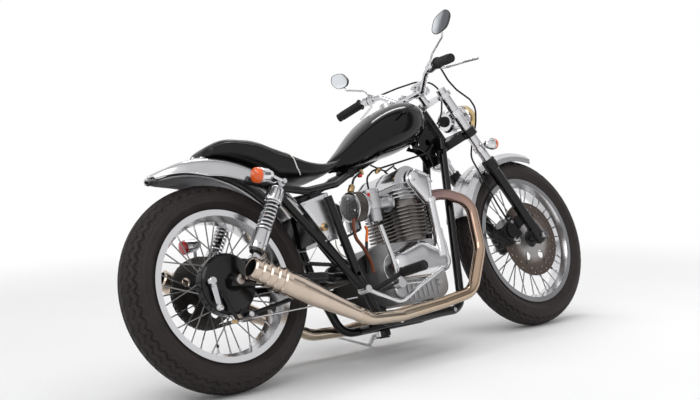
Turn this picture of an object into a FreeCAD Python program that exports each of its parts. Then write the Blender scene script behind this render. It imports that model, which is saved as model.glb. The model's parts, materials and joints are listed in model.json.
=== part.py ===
import FreeCAD, Part
import math
import os
import Sketcher
from types import SimpleNamespace
from FreeCAD import Placement, Rotation, Vector

# Chopper motorcycle, a custom on a vertical twin, parked on its side stand.
# It is drawn upright: X forward from the rear axle, Y to the left, Z up from the
# lowest point of the rear tyre. At the end the whole machine is leaned over to the
# left and moved, so that its origin is on the floor below the middle of its box.

SIZES = {
    # Stance
    "wheelbase": 1455,
    "lean_angle": 17.5,
    "rake_angle": 29.5,
    "fork_offset": 58,
    # Gaps between pieces, and the overrun of every cut
    "running_gap": 0.05,
    "seat_gap": 0.3,
    "overrun": 5,
    # Wheels
    "rear_tyre_radius": 332.5,
    "rear_tyre_section": 68,
    "rear_rim_radius": 242.5,
    "rear_rim_width": 92,
    "front_tyre_radius": 340,
    "front_tyre_section": 56,
    "front_rim_radius": 254.5,
    "front_rim_width": 72,
    "rim_depth": 26,
    "rim_flange": 6,
    "bead_rise": 2,
    "spoke_thickness": 4,
    "spoke_inset": 5.5,
    "spoke_stagger": 2.6,
    "spoke_count": 36,
    "hub_flange": 9,
    "hub_waist": 8,
    "front_hub_diameter": 62,
    "front_hub_width": 66,
    "rear_hub_diameter": 92,
    "rear_hub_width": 84,
    "drum_diameter": 196,
    "drum_width": 34,
    "drum_wall": 8,
    "drum_flange_line": 41.5,
    "axle_diameter": 18,
    "axle_end": 10,
    "axle_nut_diameter": 30,
    "axle_nut_length": 9,
    "rear_axle_end": 4,
    # Brake disc
    "disc_diameter": 300,
    "disc_inner_diameter": 219,
    "disc_thickness": 6,
    "disc_offset": 54,
    "disc_hole": 9,
    "disc_inner_row": 121,
    "disc_outer_row": 138,
    "disc_hole_count": 24,
    "carrier_lap": 3,
    "carrier_foot": 8,
    "carrier_foot_radius": 28,
    "carrier_root": 34,
    "carrier_waist": 44,
    "carrier_window": 34,
    "carrier_window_count": 6,
    # Chain and sprockets
    "sprocket_diameter": 214,
    "sprocket_thickness": 7,
    "sprocket_hub": 92,
    "sprocket_hub_end": 80,
    "tooth_height": 6,
    "tooth_width": 9,
    "tooth_count": 38,
    "sprocket_window": 30,
    "sprocket_window_count": 5,
    "chain_line": 82,
    "chain_width": 18,
    "chain_height": 16,
    "chain_pitch": 15.875,
    "chain_waist": 3,
    "drive_sprocket_diameter": 82,
    # Fork and yokes
    "fork_spread": 200,
    "fork_length": 712,
    "stanchion_diameter": 39,
    "slider_diameter": 50,
    "slider_length": 392,
    "slider_foot": 26,
    "slider_toe": 36,
    "slider_toe_rise": 8,
    "slider_shoulder": 44,
    "slider_collar": 56,
    "slider_collar_length": 34,
    "slider_waist": 44,
    "top_yoke_level": 676,
    "top_yoke_thickness": 16,
    "lower_yoke_level": 492,
    "lower_yoke_thickness": 32,
    "yoke_leg_wall": 9,
    "yoke_stem_radius": 22,
    "stem_diameter": 28,
    "stem_nut_diameter": 36,
    "stem_nut_height": 12,
    "caliper_lug_width": 16,
    "caliper_lug_back": 63.7,
    "caliper_lug_height": 40,
    "caliper_lug_level": 82,
    "disc_gap": 5,
    "piston_diameter": 56,
    "piston_rise": 8,
    # Handlebar and what it carries
    "bar_diameter": 22.2,
    "bar_bend": 40,
    "grip_diameter": 34,
    "grip_flange": 44,
    "grip_flange_length": 6,
    "grip_start": 8,
    "riser_diameter": 28,
    "riser_foot_diameter": 34,
    "riser_foot_height": 10,
    "riser_clamp_diameter": 36,
    "riser_clamp_width": 28,
    "riser_ahead": 6,
    "lever_diameter": 11,
    "lever_bend": 20,
    "perch_diameter": 36,
    "mirror_collar_diameter": 34,
    "mirror_stem": 9,
    "mirror_bend": 20,
    "mirror_width": 112,
    "mirror_height": 76,
    "mirror_depth": 14,
    "gauge_diameter": 66,
    "gauge_height": 54,
    "gauge_rim": 4,
    "gauge_ahead": 76,
    "gauge_foot_ahead": 48,
    "gauge_foot_diameter": 20,
    "gauge_arm_diameter": 12,
    "gauge_foot_height": 8,
    "gauge_lift": 22,
    # Lamps
    "lamp_diameter": 116,
    "lamp_neck": 62,
    "lamp_rim_length": 34,
    "lamp_rim_step": 4,
    "lamp_bar": 14,
    "ear_diameter": 60,
    "ear_height": 24,
    "ear_level": 588,
    "ear_wall": 4,
    "signal_level": 422,
    "signal_ring_height": 18,
    "signal_ring_diameter": 50,
    "signal_stalk": 12,
    "signal_stalk_gap": 1.5,
    "signal_arm": 10,
    "signal_nut": 16,
    "signal_nut_end": 184,
    "signal_diameter": 44,
    "signal_out": 154,
    "signal_back": 26,
    "signal_front": 36,
    "rear_signal_diameter": 50,
    "tail_lamp_diameter": 48,
    "lamp_stem": 12,
    "lamp_stem_bend": 24,
    # Frame
    "down_tube_diameter": 31,
    "backbone_diameter": 42,
    "rear_tube_diameter": 26,
    "seat_cross_diameter": 30,
    "head_tube_diameter": 50,
    "head_tube_gap": 6,
    "head_cross_diameter": 30,
    "frame_bend": 70,
    "gusset_thickness": 4,
    "gusset_spread": 40,
    "gusset_hole": 26,
    "gusset_small_hole": 16,
    "engine_lug_length": 26,
    "engine_lug_half": 40,
    "engine_bolt": 26,
    "swingarm_tube": 34,
    "swingarm_spread": 226,
    "swingarm_bend": 40,
    "pivot_half": 92,
    "pivot_diameter": 44,
    "pivot_bolt": 14.1,
    "torque_lug_length": 20,
    "shock_post": 18,
    "shock_bolt": 12,
    "shock_line": 148,
    "shock_bolt_end": 162,
    "seat_bolt": 14,
    "fender_bar": 10,
    # Shocks
    "shock_tube": 24,
    "shock_low_cover": 50,
    "shock_low_length": 66,
    "shock_top_cover": 52,
    "shock_top_length": 48,
    "shock_end_gap": 26,
    "shock_top_gap": 22,
    "coil_diameter": 46,
    "coil_depth": 5,
    "coil_count": 8,
    "shock_eye": 30,
    "shock_eye_width": 18,
    # Engine
    "case_half": 70,
    "case_corner": 50,
    "case_shoulder": 45,
    "gearbox_radius": 62,
    "cover_edge": 12,
    "right_cover_depth": 76,
    "left_cover_depth": 66,
    "cover_back_radius": 58,
    "cover_middle_radius": 75,
    "cover_nose_radius": 48,
    "left_back_radius": 60,
    "left_front_radius": 70,
    "right_lid": 96,
    "left_lid": 104,
    "small_lid": 64,
    "lid_rise": 5,
    "lid_edge": 2,
    "engine_gap": 0.3,
    "block_start": 745,
    "block_depth": 140,
    "block_width": 236,
    "barrel_tie": 60,
    "barrel_radius": 54,
    "barrel_spread": 104,
    "fin_corner": 24,
    "fin_thickness": 4,
    "fin_pitch": 13,
    "fin_count": 9,
    "fin_start": 408,
    "block_top": 540,
    "head_top": 596,
    "head_inset": 9,
    "head_fin_reach": 6,
    "head_fin_side": 4,
    "head_fin_count": 3,
    "head_fin_start": 548,
    "cam_half": 112,
    "cam_rib": 9,
    "cam_rib_rise": 3,
    "cam_end": 38,
    "cam_crown": 54,
    "cam_cap_diameter": 52,
    "cam_cap_drop": 20,
    "cam_cap_rise": 6,
    "bevel_depth": 28,
    "bevel_low_radius": 20,
    "bevel_front_radius": 34,
    "bevel_back_radius": 40,
    "bevel_edge": 9,
    "tower_diameter": 30,
    "tower_collar": 38,
    "tower_collar_length": 16,
    "tower_skirt": 84,
    "carb_spread": 124,
    "carb_level": 540,
    "carb_throat": 50,
    "carb_back": 592,
    "carb_middle": 660,
    "carb_flange": 9,
    "carb_flange_radius": 34,
    "carb_radius": 31,
    "carb_waist": 20,
    "carb_rise": 52,
    "carb_cap": 14,
    "bowl_radius": 27,
    "bowl_drop": 66,
    "filter_spread": 152,
    "filter_level": 534,
    "filter_length": 51.7,
    "filter_diameter": 106,
    "filter_cap": 7,
    "filter_step": 3,
    # Exhaust
    "pipe_diameter": 42,
    "pipe_bend": 95,
    "port_flange": 62,
    "port_flange_length": 12,
    "pipe_clamp_diameter": 50,
    "pipe_clamp_length": 24,
    "muffler_length": 438,
    "muffler_diameter": 78,
    "muffler_mouth": 62,
    "muffler_wide_at": 300,
    "muffler_wall": 3,
    "muffler_hollow": 60,
    "louvre_rise": 4,
    "louvre_gap": 4,
    "louvre_count": 5,
    "left_muffler_back": 112,
    "pipe_turn_back": 46,
    # Tank
    "tank_half_width": 122,
    "tank_half_height": 92,
    "cap_diameter": 60,
    "cap_height": 24,
    "cap_sink": 20,
    "cap_lip": 4,
    # Seat and fenders
    "seat_half_width": 110,
    "fender_gap": 0.4,
    "rear_fender_crown": 408,
    "rear_fender_half": 84,
    "rear_fender_skirt": 62,
    "front_fender_crown": 362,
    "front_fender_half": 68,
    "front_fender_skirt": 40,
    "fender_shoulder": 20,
    "fender_wall": 3,
    "fender_rib": 11,
    "fender_rib_rise": 4,
    "rear_fender_start_angle": 30,
    "rear_fender_end_angle": 114,
    "front_fender_start_angle": 72,
    "front_fender_end_angle": 160,
    "tail_cut_radius": 330,
    "tail_cut_back": 70,
    "tail_cut_up": 25,
    "fender_foot": 18,
    "fender_foot_level": 334,
    # Controls and small parts
    "peg_diameter": 32,
    "peg_rim": 4,
    "peg_arm": 16,
    "peg_bend": 24,
    "pedal_rod": 14,
    "pedal_bend": 40,
    "pedal_boss": 26,
    "pedal_pad": 18,
    "pedal_pad_half": 18,
    "pedal_boss_end": 10,
    "kick_shaft": 20,
    "kick_boss": 34,
    "kick_boss_length": 26,
    "kick_arm": 16,
    "kick_bend": 60,
    "shift_shaft": 18,
    "shift_arm": 12,
    "shift_pad_length": 36,
    "plate_wall": 3,
    "plate_rib": 5,
    "battery_half": 92.7,
    "brake_arm": 12,
    "brake_boss": 22,
    "torque_bar": 14,
    "torque_boss": 20,
    "backplate_gap": 1,
    "backplate_lip": 2,
    "backplate_rise": 22,
    "backplate_nose": 30,
    "backplate_end": 0.4,
    "arm_top_rise": 14.7,
    "cable_diameter": 7,
    "cable_bend": 60,
    # Side stand
    "stand_bar": 16,
    "stand_bend": 24,
    "stand_pin": 10,
    "stand_hub": 30,
    "stand_hub_half": 12,
    "stand_ear": 28,
    "stand_ear_wall": 6,
    "stand_ear_reach": 36,
    "stand_lean_angle": 5.739,
    "stand_pin_end": 2,
    "stand_neck": 34,
    "stand_lug_in": 86,
    "stand_lug_out": 107,
    "stand_lug_drop": 1,
    "stand_lug_lift": 5,
}

# Places by name: ahead of the rear axle, out from the middle, above the axle
PLACES = {
    "spine_back": (598, 0, 331.5),
    "seat_cross": (598, 62, 327.5),
    "cradle_front": (952, 86, -214.5),
    "cradle_back": (540, 112, -214.5),
    "cradle_rear": (474, 120, -32.5),
    "cradle_top": (420, 120, 237.5),
    "front_lug": (900, 86, -214.5),
    "rear_lug": (620, 106, -214.5),
    "seat_rail_front": (598, 46, 327.5),
    "seat_rail_bend": (500, 82, 287.5),
    "seat_rail_low": (350, 104, 265.5),
    "shock_top": (212, 108, 287.5),
    "seat_rail_end": (120, 106, 317.5),
    "fender_hold": (150, 102, 317.5),
    "stay_foot": (503, 117, -112.5),
    "swing_pivot": (470, 78, -36.5),
    "swing_neck": (392, 80, -32.5),
    "swing_elbow": (336, 113, -28.5),
    "swing_end": (-26, 113, 0),
    "pivot_hole": (470, 150, -36.5),
    "shock_low": (57, 113, 55.5),
    "torque_lug": (300, 108, -53.5),
    "drive_sprocket": (532, 82, -14.5),
    "gearbox": (568, 0, -34.5),
    "sump_back": (612, 0, -107.5),
    "sump_front": (880, 0, -107.5),
    "case_front": (885, 0, 14.5),
    "case_back": (640, 0, 14.5),
    "cover_back": (690, 0, -32.5),
    "cover_middle": (790, 0, -20.5),
    "cover_nose": (868, 0, -32.5),
    "left_back": (680, 0, -32.5),
    "left_front": (800, 0, -27.5),
    "tower_foot": (868, 137, -10.5),
    "tower_top": (876, 137, 207.5),
    "bevel_back": (835, 0, 271.5),
    "bevel_front": (868, 0, 263.5),
    "bevel_low": (866, 0, 197.5),
    "cam_back": (785, 0, 267.5),
    "cam_top": (815, 0, 271.5),
    "cam_front": (845, 0, 267.5),
    "port": (896.5, 66, 212.5),
    "pipe_out": (1000, 84, 219.5),
    "pipe_front": (1078, 134, 167.5),
    "pipe_shin": (1062, 142, -12.5),
    "pipe_toe": (960, 152, -164.5),
    "pipe_under": (800, 154, -184.5),
    "pipe_back": (590, 158, -200.5),
    "muffler_start": (404, 168, -172.5),
    "muffler_end": (14, 184, 24.5),
    "tank_back": (560, 0, 369.5),
    "seat_back": (24, 0, 440),
    "seat_nose": (556, 0, 366),
    "cap": (905, 0, 579.5),
    "peg_root": (501, 118, -106.5),
    "peg_elbow": (560, 176, -80.5),
    "peg_hinge": (608, 190, -61.5),
    "peg_end": (624, 296, -58.5),
    "pedal_pivot": (465, 127.6, -95.5),
    "pedal_root": (465, 162, -95.5),
    "pedal_drop": (500, 172, -118.5),
    "pedal_low": (572, 196, -160.5),
    "pedal_rise": (657, 212, -116.5),
    "pedal_toe": (780, 216, -68.5),
    "kick_shaft": (620, 70.3, -94.5),
    "kick_root": (620, 158, -94.5),
    "kick_boss": (620, 142, -94.5),
    "kick_knee": (606, 162, 7.5),
    "kick_top": (588, 160, 113.5),
    "shift_shaft": (618, 70.6, -100.5),
    "shift_boss": (618, 144, -100.5),
    "shift_bend": (700, 168, -118.5),
    "shift_toe": (768, 172, -96.5),
    "plate_top_back": (322, 96, 227.5),
    "plate_top_front": (440, 96, 255.5),
    "plate_low_front": (446, 96, 93.5),
    "plate_low_back": (404, 96, 93.5),
    "battery_low": (370, 0, 95.5),
    "battery_high": (446, 0, 257.5),
    "battery_recess": (380, 40, 0),
    "tail_lamp_back": (-8, 152, 165.5),
    "tail_lamp_front": (66, 152, 173.5),
    "tail_stem_top": (40, 152, 157.5),
    "tail_stem_bend": (28, 142, 113.5),
    "tail_stem_low": (8, 113, 71.5),
    "rear_signal_back": (98, 178, 313.5),
    "rear_signal_front": (176, 178, 309.5),
    "rear_signal_arm": (166, 178, 310.5),
    "rear_signal_foot": (206, 176, 289.5),
    "brake_cam": (-46, 84, -32.5),
    "brake_arm_bend": (-22, 100, -100.5),
    "brake_arm_end": (-14, 100, -120.5),
    "torque_back": (40, 92, -106.5),
    "torque_front": (300, 99, -64.5),
    "anchor_a": (4, 0, -70.5),
    "anchor_b": (30, 0, -118.5),
    "anchor_c": (52, 0, -106.5),
    "anchor_d": (36, 0, -52.5),
    "stand_pivot": (725, 128, -235.5),
    "stand_corner": (728, 200, 0),
    "stand_foot": (742, 388, 0),
}

# Places of the steered parts: ahead of the steering axis, out from it, up along it
FORK_PLACES = {
    "bar_clamp": (3, 45, 746),
    "bar_middle": (3, 70, 746),
    "bar_rise": (4, 138, 804),
    "bar_bend": (-15, 222, 819),
    "bar_end": (-61, 330, 819),
    "mirror_root": (0, 182, 829),
    "mirror_low": (16, 206, 854),
    "mirror_high": (17, 290, 892),
    "mirror_back": (24, 300, 914),
    "mirror_middle": (35, 308, 937),
    "lever_root": (-4, 204, 803),
    "lever_knee": (18, 222, 784),
    "lever_reach": (40, 290, 767),
    "lever_tip": (49, 350, 752),
    "lamp_front": (194, 0, 523),
    "lamp_back": (84, 0, 581),
    "lamp_bar": (109, 74, 567),
    "head_cross": (-35, 44, 552),
    "spine_front": (-4, 0, 625),
    "gusset_back": (-164, 20, 600),
    "gusset_hollow_high": (-134, 20, 572),
    "gusset_hollow": (-120, 20, 542),
    "gusset_hollow_low": (-120, 20, 514),
    "gusset_tip": (-132, 20, 488),
    "gusset_low": (-46, 20, 470),
    "gusset_shoulder": (-40, 20, 534),
    "gusset_head_low": (0, 20, 534),
    "gusset_head": (0, 20, 645),
    "gusset_top": (-56, 20, 622),
    "gusset_hole_high": (-84, 60, 574),
    "gusset_hole_low": (-86, 60, 522),
    "gusset_hole_back": (-130, 60, 598),
    "caliper_low": (-88, 96, 60),
    "caliper_high": (-6, 30, 142),
    "caliper_piston": (-47, 96, 102),
    "tank_front": (-66, 0, 657),
}

# Shares of the tank's length, rise, half width and half height, from seat to head
TANK_SHARES = [
    (0, 0, 0.18, 0.24), (0.13, 0.149, 0.475, 0.457), (0.302, 0.405, 0.754, 0.717),
    (0.496, 0.662, 0.951, 0.913), (0.69, 0.851, 1, 1), (0.862, 0.973, 0.885, 0.87),
    (0.966, 1, 0.607, 0.587), (1, 1, 0.279, 0.283)]

GUSSET_CORNERS = ("back", "hollow_high", "hollow", "hollow_low", "tip", "low", "shoulder",
                  "head_low", "head", "top")
# Shares of the muffler's widening, a shock's coil, the headlamp's bucket and a bullet lamp
MUFFLER_SHARES = [(0.04, 0.62), (0.3, 0.74), (0.65, 0.92), (0.85, 1)]
COIL_SHARES = (0.25, 0.75)
LAMP_SHARES = [(0, 0.3), (0.12, 0.62), (0.4, 0.84), (0.72, 0.96), (1, 1)]
BULLET_SHARES = [(0.02, 0.3), (0.1, 0.56), (0.3, 0.85), (0.6, 0.97), (0.74, 1), (0.88, 0.97), (0.97, 0.7)]
PLATE_SHARE = 0.78
# Seat sections: share of its run from the tail, heights as shares of its rise over the
# nose, and share of its half width; and the tail's corners, cut in plan from the fender
SEAT_SHARES = [(0, 1.07, -0.3, 0.6), (0.11, 1.45, -0.3, 0.8), (0.32, 1.3, -0.5, 0.96), (0.51, 0.75, -0.65, 1),
               (0.68, 0.16, -0.7, 0.99), (0.83, 0, -0.62, 0.87), (1, 0.2, -0.1, 0.56)]
SEAT_EDGE_SHARE = 0.4
TAIL_SHARES = [(0.2, 1.2), (0.2, 1.01), (0.31, 0.86), (0.42, 0.4), (0.6, 0.4), (0.6, 1.2)]
SECTION_POINTS = 12
SECTION_POWER = 0.83
# Cables: points ahead of the steering axis, to the left and up it, then from the rear axle
STEERED_CABLES = [
    [(12, -198, 810), (34, -184, 786), (48, -168, 730), (84, -146, 676), (150, -118, 604), (172, -98, 556),
     (150, -70, 500), (84, -64, 462), (24, -66, 420), (2, -78, 330), (-14, -79, 217), (-16, -78, 142.5)],
    [(12, 198, 810), (60, 178, 800), (110, 140, 786), (160, 80, 764), (178, 30, 732), (170, 4, 690),
     (120, -14, 650), (70, -32, 628), (30, -42, 614), (0, -40, 606)]]
FRAME_CABLES = [
    [(660, -62, 259.9), (664, -60, 306), (720, -40, 336), (1024, -30, 393.5), (1066, -30, 425.5)]]
# Shares of a link's length at which its edge is full, of a yoke's boss and neck in its
# plan, of the bar's straight stretch where its clamps sit, and of the mirror's half sizes
CHAIN_SHARES = (0.3, 0.7)
YOKE_SHARES = (0.7, 0.4, 0.27, 0.13)
PERCH_SHARES = (0.66, 0.88)
MIRROR_CLAMP_SHARES = (0.44, 0.6)
MIRROR_SHARES = [(-1, -0.55), (0.3, -0.95), (0.85, -0.5), (1, 0.15), (0.75, 0.95), (-0.45, 0.8),
                 (-0.95, -0.1)]
# A bend takes no more than this share of the runs that it joins
BEND_SHARE = 0.45
STRAIGHT, SHORTEST = 0.01, 0.001



X, Y, Z = Vector(1, 0, 0), Vector(0, 1, 0), Vector(0, 0, 1)
LEFT, RIGHT = 1, -1
BOTH = (("left", LEFT), ("right", RIGHT))
WAYS = ("ahead", "out", "up")
FULL_TURN = 360
UPRIGHT = Rotation(X, 90)
NODES = []


class Length(float):
    # An amount that remembers which cells it comes from, so that sums of it stay bound.
    def __new__(cls, value, text):
        item = super().__new__(cls, value)
        item.text = text
        return item

    def __add__(self, other):
        return joined(self, "+", other, float(self) + float(other))

    def __radd__(self, other):
        return joined(other, "+", self, float(other) + float(self))

    def __sub__(self, other):
        return joined(self, "-", other, float(self) - float(other))

    def __rsub__(self, other):
        return joined(other, "-", self, float(other) - float(self))

    def __mul__(self, other):
        return joined(self, "*", other, float(self) * float(other))

    def __rmul__(self, other):
        return joined(other, "*", self, float(other) * float(self))

    def __truediv__(self, other):
        return joined(self, "/", other, float(self) / float(other))

    def __neg__(self):
        return joined(0, "-", self, -float(self))


def text_of(value):
    return value.text if isinstance(value, Length) else repr(round(float(value), 6))


def joined(first, sign, second, value):
    return Length(value, f"({text_of(first)} {sign} {text_of(second)})")


def bind(item, prop, value):
    # Sets a property and ties it to the cells that its amount came from.
    setattr(item, prop, float(value))
    if isinstance(value, Length):
        item.setExpression(prop, value.text)


doc = FreeCAD.newDocument("Motorcycle")
sheet = doc.addObject("Spreadsheet::Sheet", "Sizes")
amounts = dict(SIZES)
for table in (PLACES, FORK_PLACES):
    for name, numbers in table.items():
        amounts.update({f"{name}_{way}": number for way, number in zip(WAYS, numbers)})
for row, (alias, amount) in enumerate(amounts.items(), start=1):
    sheet.set(f"A{row}", alias)
    sheet.set(f"B{row}", str(amount))
    sheet.setAlias(f"B{row}", alias)
doc.recompute()
size = SimpleNamespace(**{
    alias: Length(float(sheet.get(alias)), "Sizes." + alias) for alias in amounts})

# Axles, lean and steering axis, which the rest is placed from
lean = math.radians(size.lean_angle)
lean_rise = 1 / math.cos(lean) - 1
ground_drop = size.rear_tyre_section * lean_rise
rear_axle = Vector(0, 0, size.rear_tyre_radius)
front_axle = Vector(size.wheelbase, 0, size.front_tyre_radius
                    + (size.front_tyre_section - size.rear_tyre_section) * lean_rise)
fork_turn = Rotation(Y, -size.rake_angle)
fork_foot = front_axle - fork_turn.multVec(X * size.fork_offset)
fork_up = fork_turn.multVec(Z)


def on_fork(ahead, across, up):
    # A point of the steered parts: ahead of the steering axis, to the left and up it.
    return fork_foot + fork_turn.multVec(Vector(ahead, across, up))


def place(name, side=LEFT):
    # A named place on the machine, on its left or its right.
    ahead, out, up = (getattr(size, f"{name}_{way}") for way in WAYS)
    return rear_axle + Vector(ahead, side * out, up)


def fork_place(name, side=LEFT):
    # A named place on the steered parts.
    ahead, out, up = (getattr(size, f"{name}_{way}") for way in WAYS)
    return on_fork(ahead, side * out, up)


def ground(across):
    # Height of the floor beside the leaning machine, in the upright drawing.
    return across * math.tan(lean) - ground_drop


def node(label, item):
    # The finished piece, which names its file.
    item.Label = label
    NODES.append(item)
    return item


def cylinder(start, end, diameter, name="Rod"):
    # A round bar between two points.
    item = doc.addObject("Part::Cylinder", name)
    bind(item, "Radius", diameter / 2)
    item.Height = (end - start).Length
    item.Placement = Placement(start, Rotation(Z, end - start))
    return item


def box(low, high, turn=None, corner=None):
    # A block between two corners, or turned about a corner of its own.
    item = doc.addObject("Part::Box", "Block")
    for prop, from_, to in zip(("Length", "Width", "Height"), low, high):
        bind(item, prop, to - from_)
    item.Placement = Placement(corner or Vector(*low), turn or Rotation())
    return item


def solid(shape, name="Form"):
    item = doc.addObject("Part::Feature", name)
    item.Shape = shape
    return item


def fuse(items, name="Joined"):
    if len(items) == 1:
        return items[0]
    item = doc.addObject("Part::MultiFuse", name)
    item.Shapes = items
    item.Refine = False
    return item


def cut(base, tools, name="Opened"):
    # The base without its tools, which may touch or overlap each other.
    item = doc.addObject("Part::Cut", name)
    item.Base = base
    item.Tool = fuse(tools, name + "Tools")
    item.Refine = False
    return item


def plane_of(body, role):
    return next(item for item in body.Origin.OriginFeatures if item.Role == role)


def sketch_on(body, role="XY_Plane", lift=None):
    # An empty sketch on one of the body's own planes, at a height above it.
    sketch = body.newObject("Sketcher::SketchObject", "Outline")
    sketch.AttachmentSupport = [(plane_of(body, role), "")]
    sketch.MapMode = "FlatFace"
    if lift is not None:
        sketch.AttachmentOffset = Placement(Z * lift, Rotation())
        if isinstance(lift, Length):
            sketch.setExpression("AttachmentOffset.Base.z", lift.text)
    return sketch


def draw_polygon(sketch, points):
    # A closed outline whose corners are held by distances from the sketch's origin.
    count = len(points)
    corners = [Vector(first, second, 0) for first, second in points]
    sketch.addGeometry([Part.LineSegment(a, b) for a, b in zip(corners, corners[1:] + corners[:1])], False)
    rules = [Sketcher.Constraint("Coincident", n, 2, (n + 1) % count, 1) for n in range(count)]
    held = []
    for n, point in enumerate(points):
        for kind, value in zip(("DistanceX", "DistanceY"), point):
            held.append((len(rules), value))
            rules.append(Sketcher.Constraint(kind, -1, 1, n, 1, float(value)))
    sketch.addConstraint(rules)
    for index, value in held:
        if isinstance(value, Length):
            sketch.setExpression(f"Constraints[{index}]", value.text)


def draw_circle(sketch, diameter, ahead=0):
    # A circle on the sketch's first axis.
    number = sketch.addGeometry(Part.Circle(X * ahead, Z, diameter / 2), False)
    for kind, value in (("Radius", diameter / 2), ("DistanceX", ahead), ("DistanceY", 0)):
        if kind == "Radius":
            index = sketch.addConstraint(Sketcher.Constraint(kind, number, float(value)))
        else:
            index = sketch.addConstraint(Sketcher.Constraint(kind, -1, 1, number, 3, float(value)))
        if isinstance(value, Length):
            sketch.setExpression(f"Constraints[{index}]", value.text)


def draw_hull(sketch, circles):
    # Arcs and tangents round circles of (ahead, up, radius), given counter-clockwise.
    normals = []
    for (x_1, y_1, r_1), (x_2, y_2, r_2) in zip(circles, circles[1:] + circles[:1]):
        away = math.atan2(y_2 - y_1, x_2 - x_1)
        normals.append(away - math.acos((r_1 - r_2) / math.hypot(x_2 - x_1, y_2 - y_1)))
    arcs = []
    for (x, y, radius), first, last in zip(circles, normals[-1:] + normals[:-1], normals):
        last += 2 * math.pi * math.ceil((first - last) / (2 * math.pi))
        arcs.append(Part.ArcOfCircle(Part.Circle(Vector(x, y, 0), Z, float(radius)), first, last))
    lines = [Part.LineSegment(a.EndPoint, b.StartPoint) for a, b in zip(arcs, arcs[1:] + arcs[:1])]
    sketch.addGeometry(arcs + lines, False)
    sketch.addConstraint([Sketcher.Constraint("Block", n) for n in range(len(arcs + lines))])


def pad(body, sketch, depth, name="Pad"):
    item = body.newObject("PartDesign::Pad", name)
    item.Profile = sketch
    bind(item, "Length", depth)
    body.Tip = item
    return item


def pocket_through(body, sketch, depth):
    # A cut both ways from the sketch.
    item = body.newObject("PartDesign::Pocket", "Holes")
    item.Profile = sketch
    item.Midplane = True
    bind(item, "Length", (depth + size.overrun) * 2)
    body.Tip = item
    return item


def round_pattern(body, original, count, name="Round"):
    # Copies of a feature about the body's own Z axis.
    item = body.newObject("PartDesign::PolarPattern", name)
    item.Originals = [original]
    item.Axis = (next(f for f in body.Origin.OriginFeatures if f.Role == "Z_Axis"), [""])
    item.Angle = FULL_TURN
    item.Occurrences = int(count)
    item.setExpression("Occurrences", count.text)
    body.Tip = item
    return item


def new_body(name, start=None, turn=None):
    body = doc.addObject("PartDesign::Body", name)
    body.Placement = Placement(start or Vector(), turn or Rotation())
    return body


def turned(start, way, points, name="Turned"):
    # A profile of (distance along, radius) turned about the line that leaves start that way.
    body = new_body(name, start, Rotation(X, way))
    sketch = sketch_on(body)
    draw_polygon(sketch, points)
    turn = body.newObject("PartDesign::Revolution", name + "Turn")
    turn.Profile = sketch
    turn.ReferenceAxis = (sketch, ["H_Axis"])
    turn.Angle = FULL_TURN
    return body


def side_plate(points, outer, wall, name="Plate"):
    # A flat upright plate; its wall goes to the right from the given Y.
    body = new_body(name, Y * outer, UPRIGHT)
    sketch = sketch_on(body)
    draw_polygon(sketch, points)
    pad(body, sketch, wall)
    return body


def hull_cover(circles, start, end, edge=None, name="Cover"):
    # A smooth upright cover from the Y of its seat to its outer face, rounded there.
    body = new_body(name, Y * max(start, end), UPRIGHT)
    sketch = sketch_on(body)
    draw_hull(sketch, circles)
    form = pad(body, sketch, abs(end - start))
    if edge is not None:
        doc.recompute()
        names = [f"Edge{n}" for n, item in enumerate(form.Shape.Edges, start=1)
                 if all(abs(body.Placement.multVec(vertex.Point).y - end) < 0.001 for vertex in item.Vertexes)]
        fillet = body.newObject("PartDesign::Fillet", name + "Edge")
        fillet.Base = (form, names)
        bind(fillet, "Radius", edge)
        body.Tip = fillet
    return body


def rounded_path(points, bend):
    # Straight runs joined by arcs that touch both.
    edges, last = [], points[0]
    for before, corner, after in zip(points, points[1:], points[2:]):
        back, on = (before - corner).normalize(), (after - corner).normalize()
        opening = back.getAngle(on)
        if math.pi - opening < STRAIGHT:
            continue
        room = BEND_SHARE * min((before - corner).Length, (after - corner).Length)
        reach = min(bend / math.tan(opening / 2), room)
        radius = reach * math.tan(opening / 2)
        first, second = corner + back * reach, corner + on * reach
        inward = (back + on).normalize()
        middle = corner + inward * (radius / math.sin(opening / 2) - radius)
        if (first - last).Length > SHORTEST:
            edges.append(Part.LineSegment(last, first).toShape())
        edges.append(Part.Arc(first, middle, second).toShape())
        last = second
    edges.append(Part.LineSegment(last, points[-1]).toShape())
    return Part.Wire(edges)


def bent_tube(points, diameter, bend, name="Tube"):
    # A round bar swept along straight runs and arcs.
    path = solid(rounded_path(points, bend), name + "Path")
    ring = doc.addObject("Part::Circle", name + "Ring")
    bind(ring, "Radius", diameter / 2)
    ring.Placement = Placement(points[0], Rotation(Z, points[1] - points[0]))
    sweep = doc.addObject("Part::Sweep", name)
    sweep.Sections = [ring]
    sweep.Spine = (path, [f"Edge{n + 1}" for n in range(len(path.Shape.Edges))])
    sweep.Solid = True
    sweep.Frenet = False
    return sweep


# Wheels
axle_bore = size.axle_diameter / 2 + size.running_gap
TREAD_TURNS = [-90, -70] + [step * SIZES["lean_angle"] for step in range(-3, 4)] + [70, 90]


def tyre(centre, radius, section, rim_radius, rim_width, name):
    # Round tread on side walls that stand inside the rim's flanges. One of the tread's
    # corners is where the leaning tyre meets the floor.
    bead = rim_width / 2 - size.running_gap
    shoulder, foot = rim_radius + size.bead_rise, rim_radius - size.rim_depth / 2
    tread = [(section * math.sin(math.radians(turn)),
              radius - section + section * math.cos(math.radians(turn)))
             for turn in TREAD_TURNS]
    return node(name, turned(centre, Y, tread + [
        (bead, shoulder), (bead, foot), (-bead, foot), (-bead, shoulder)], "Tyre"))


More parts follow.
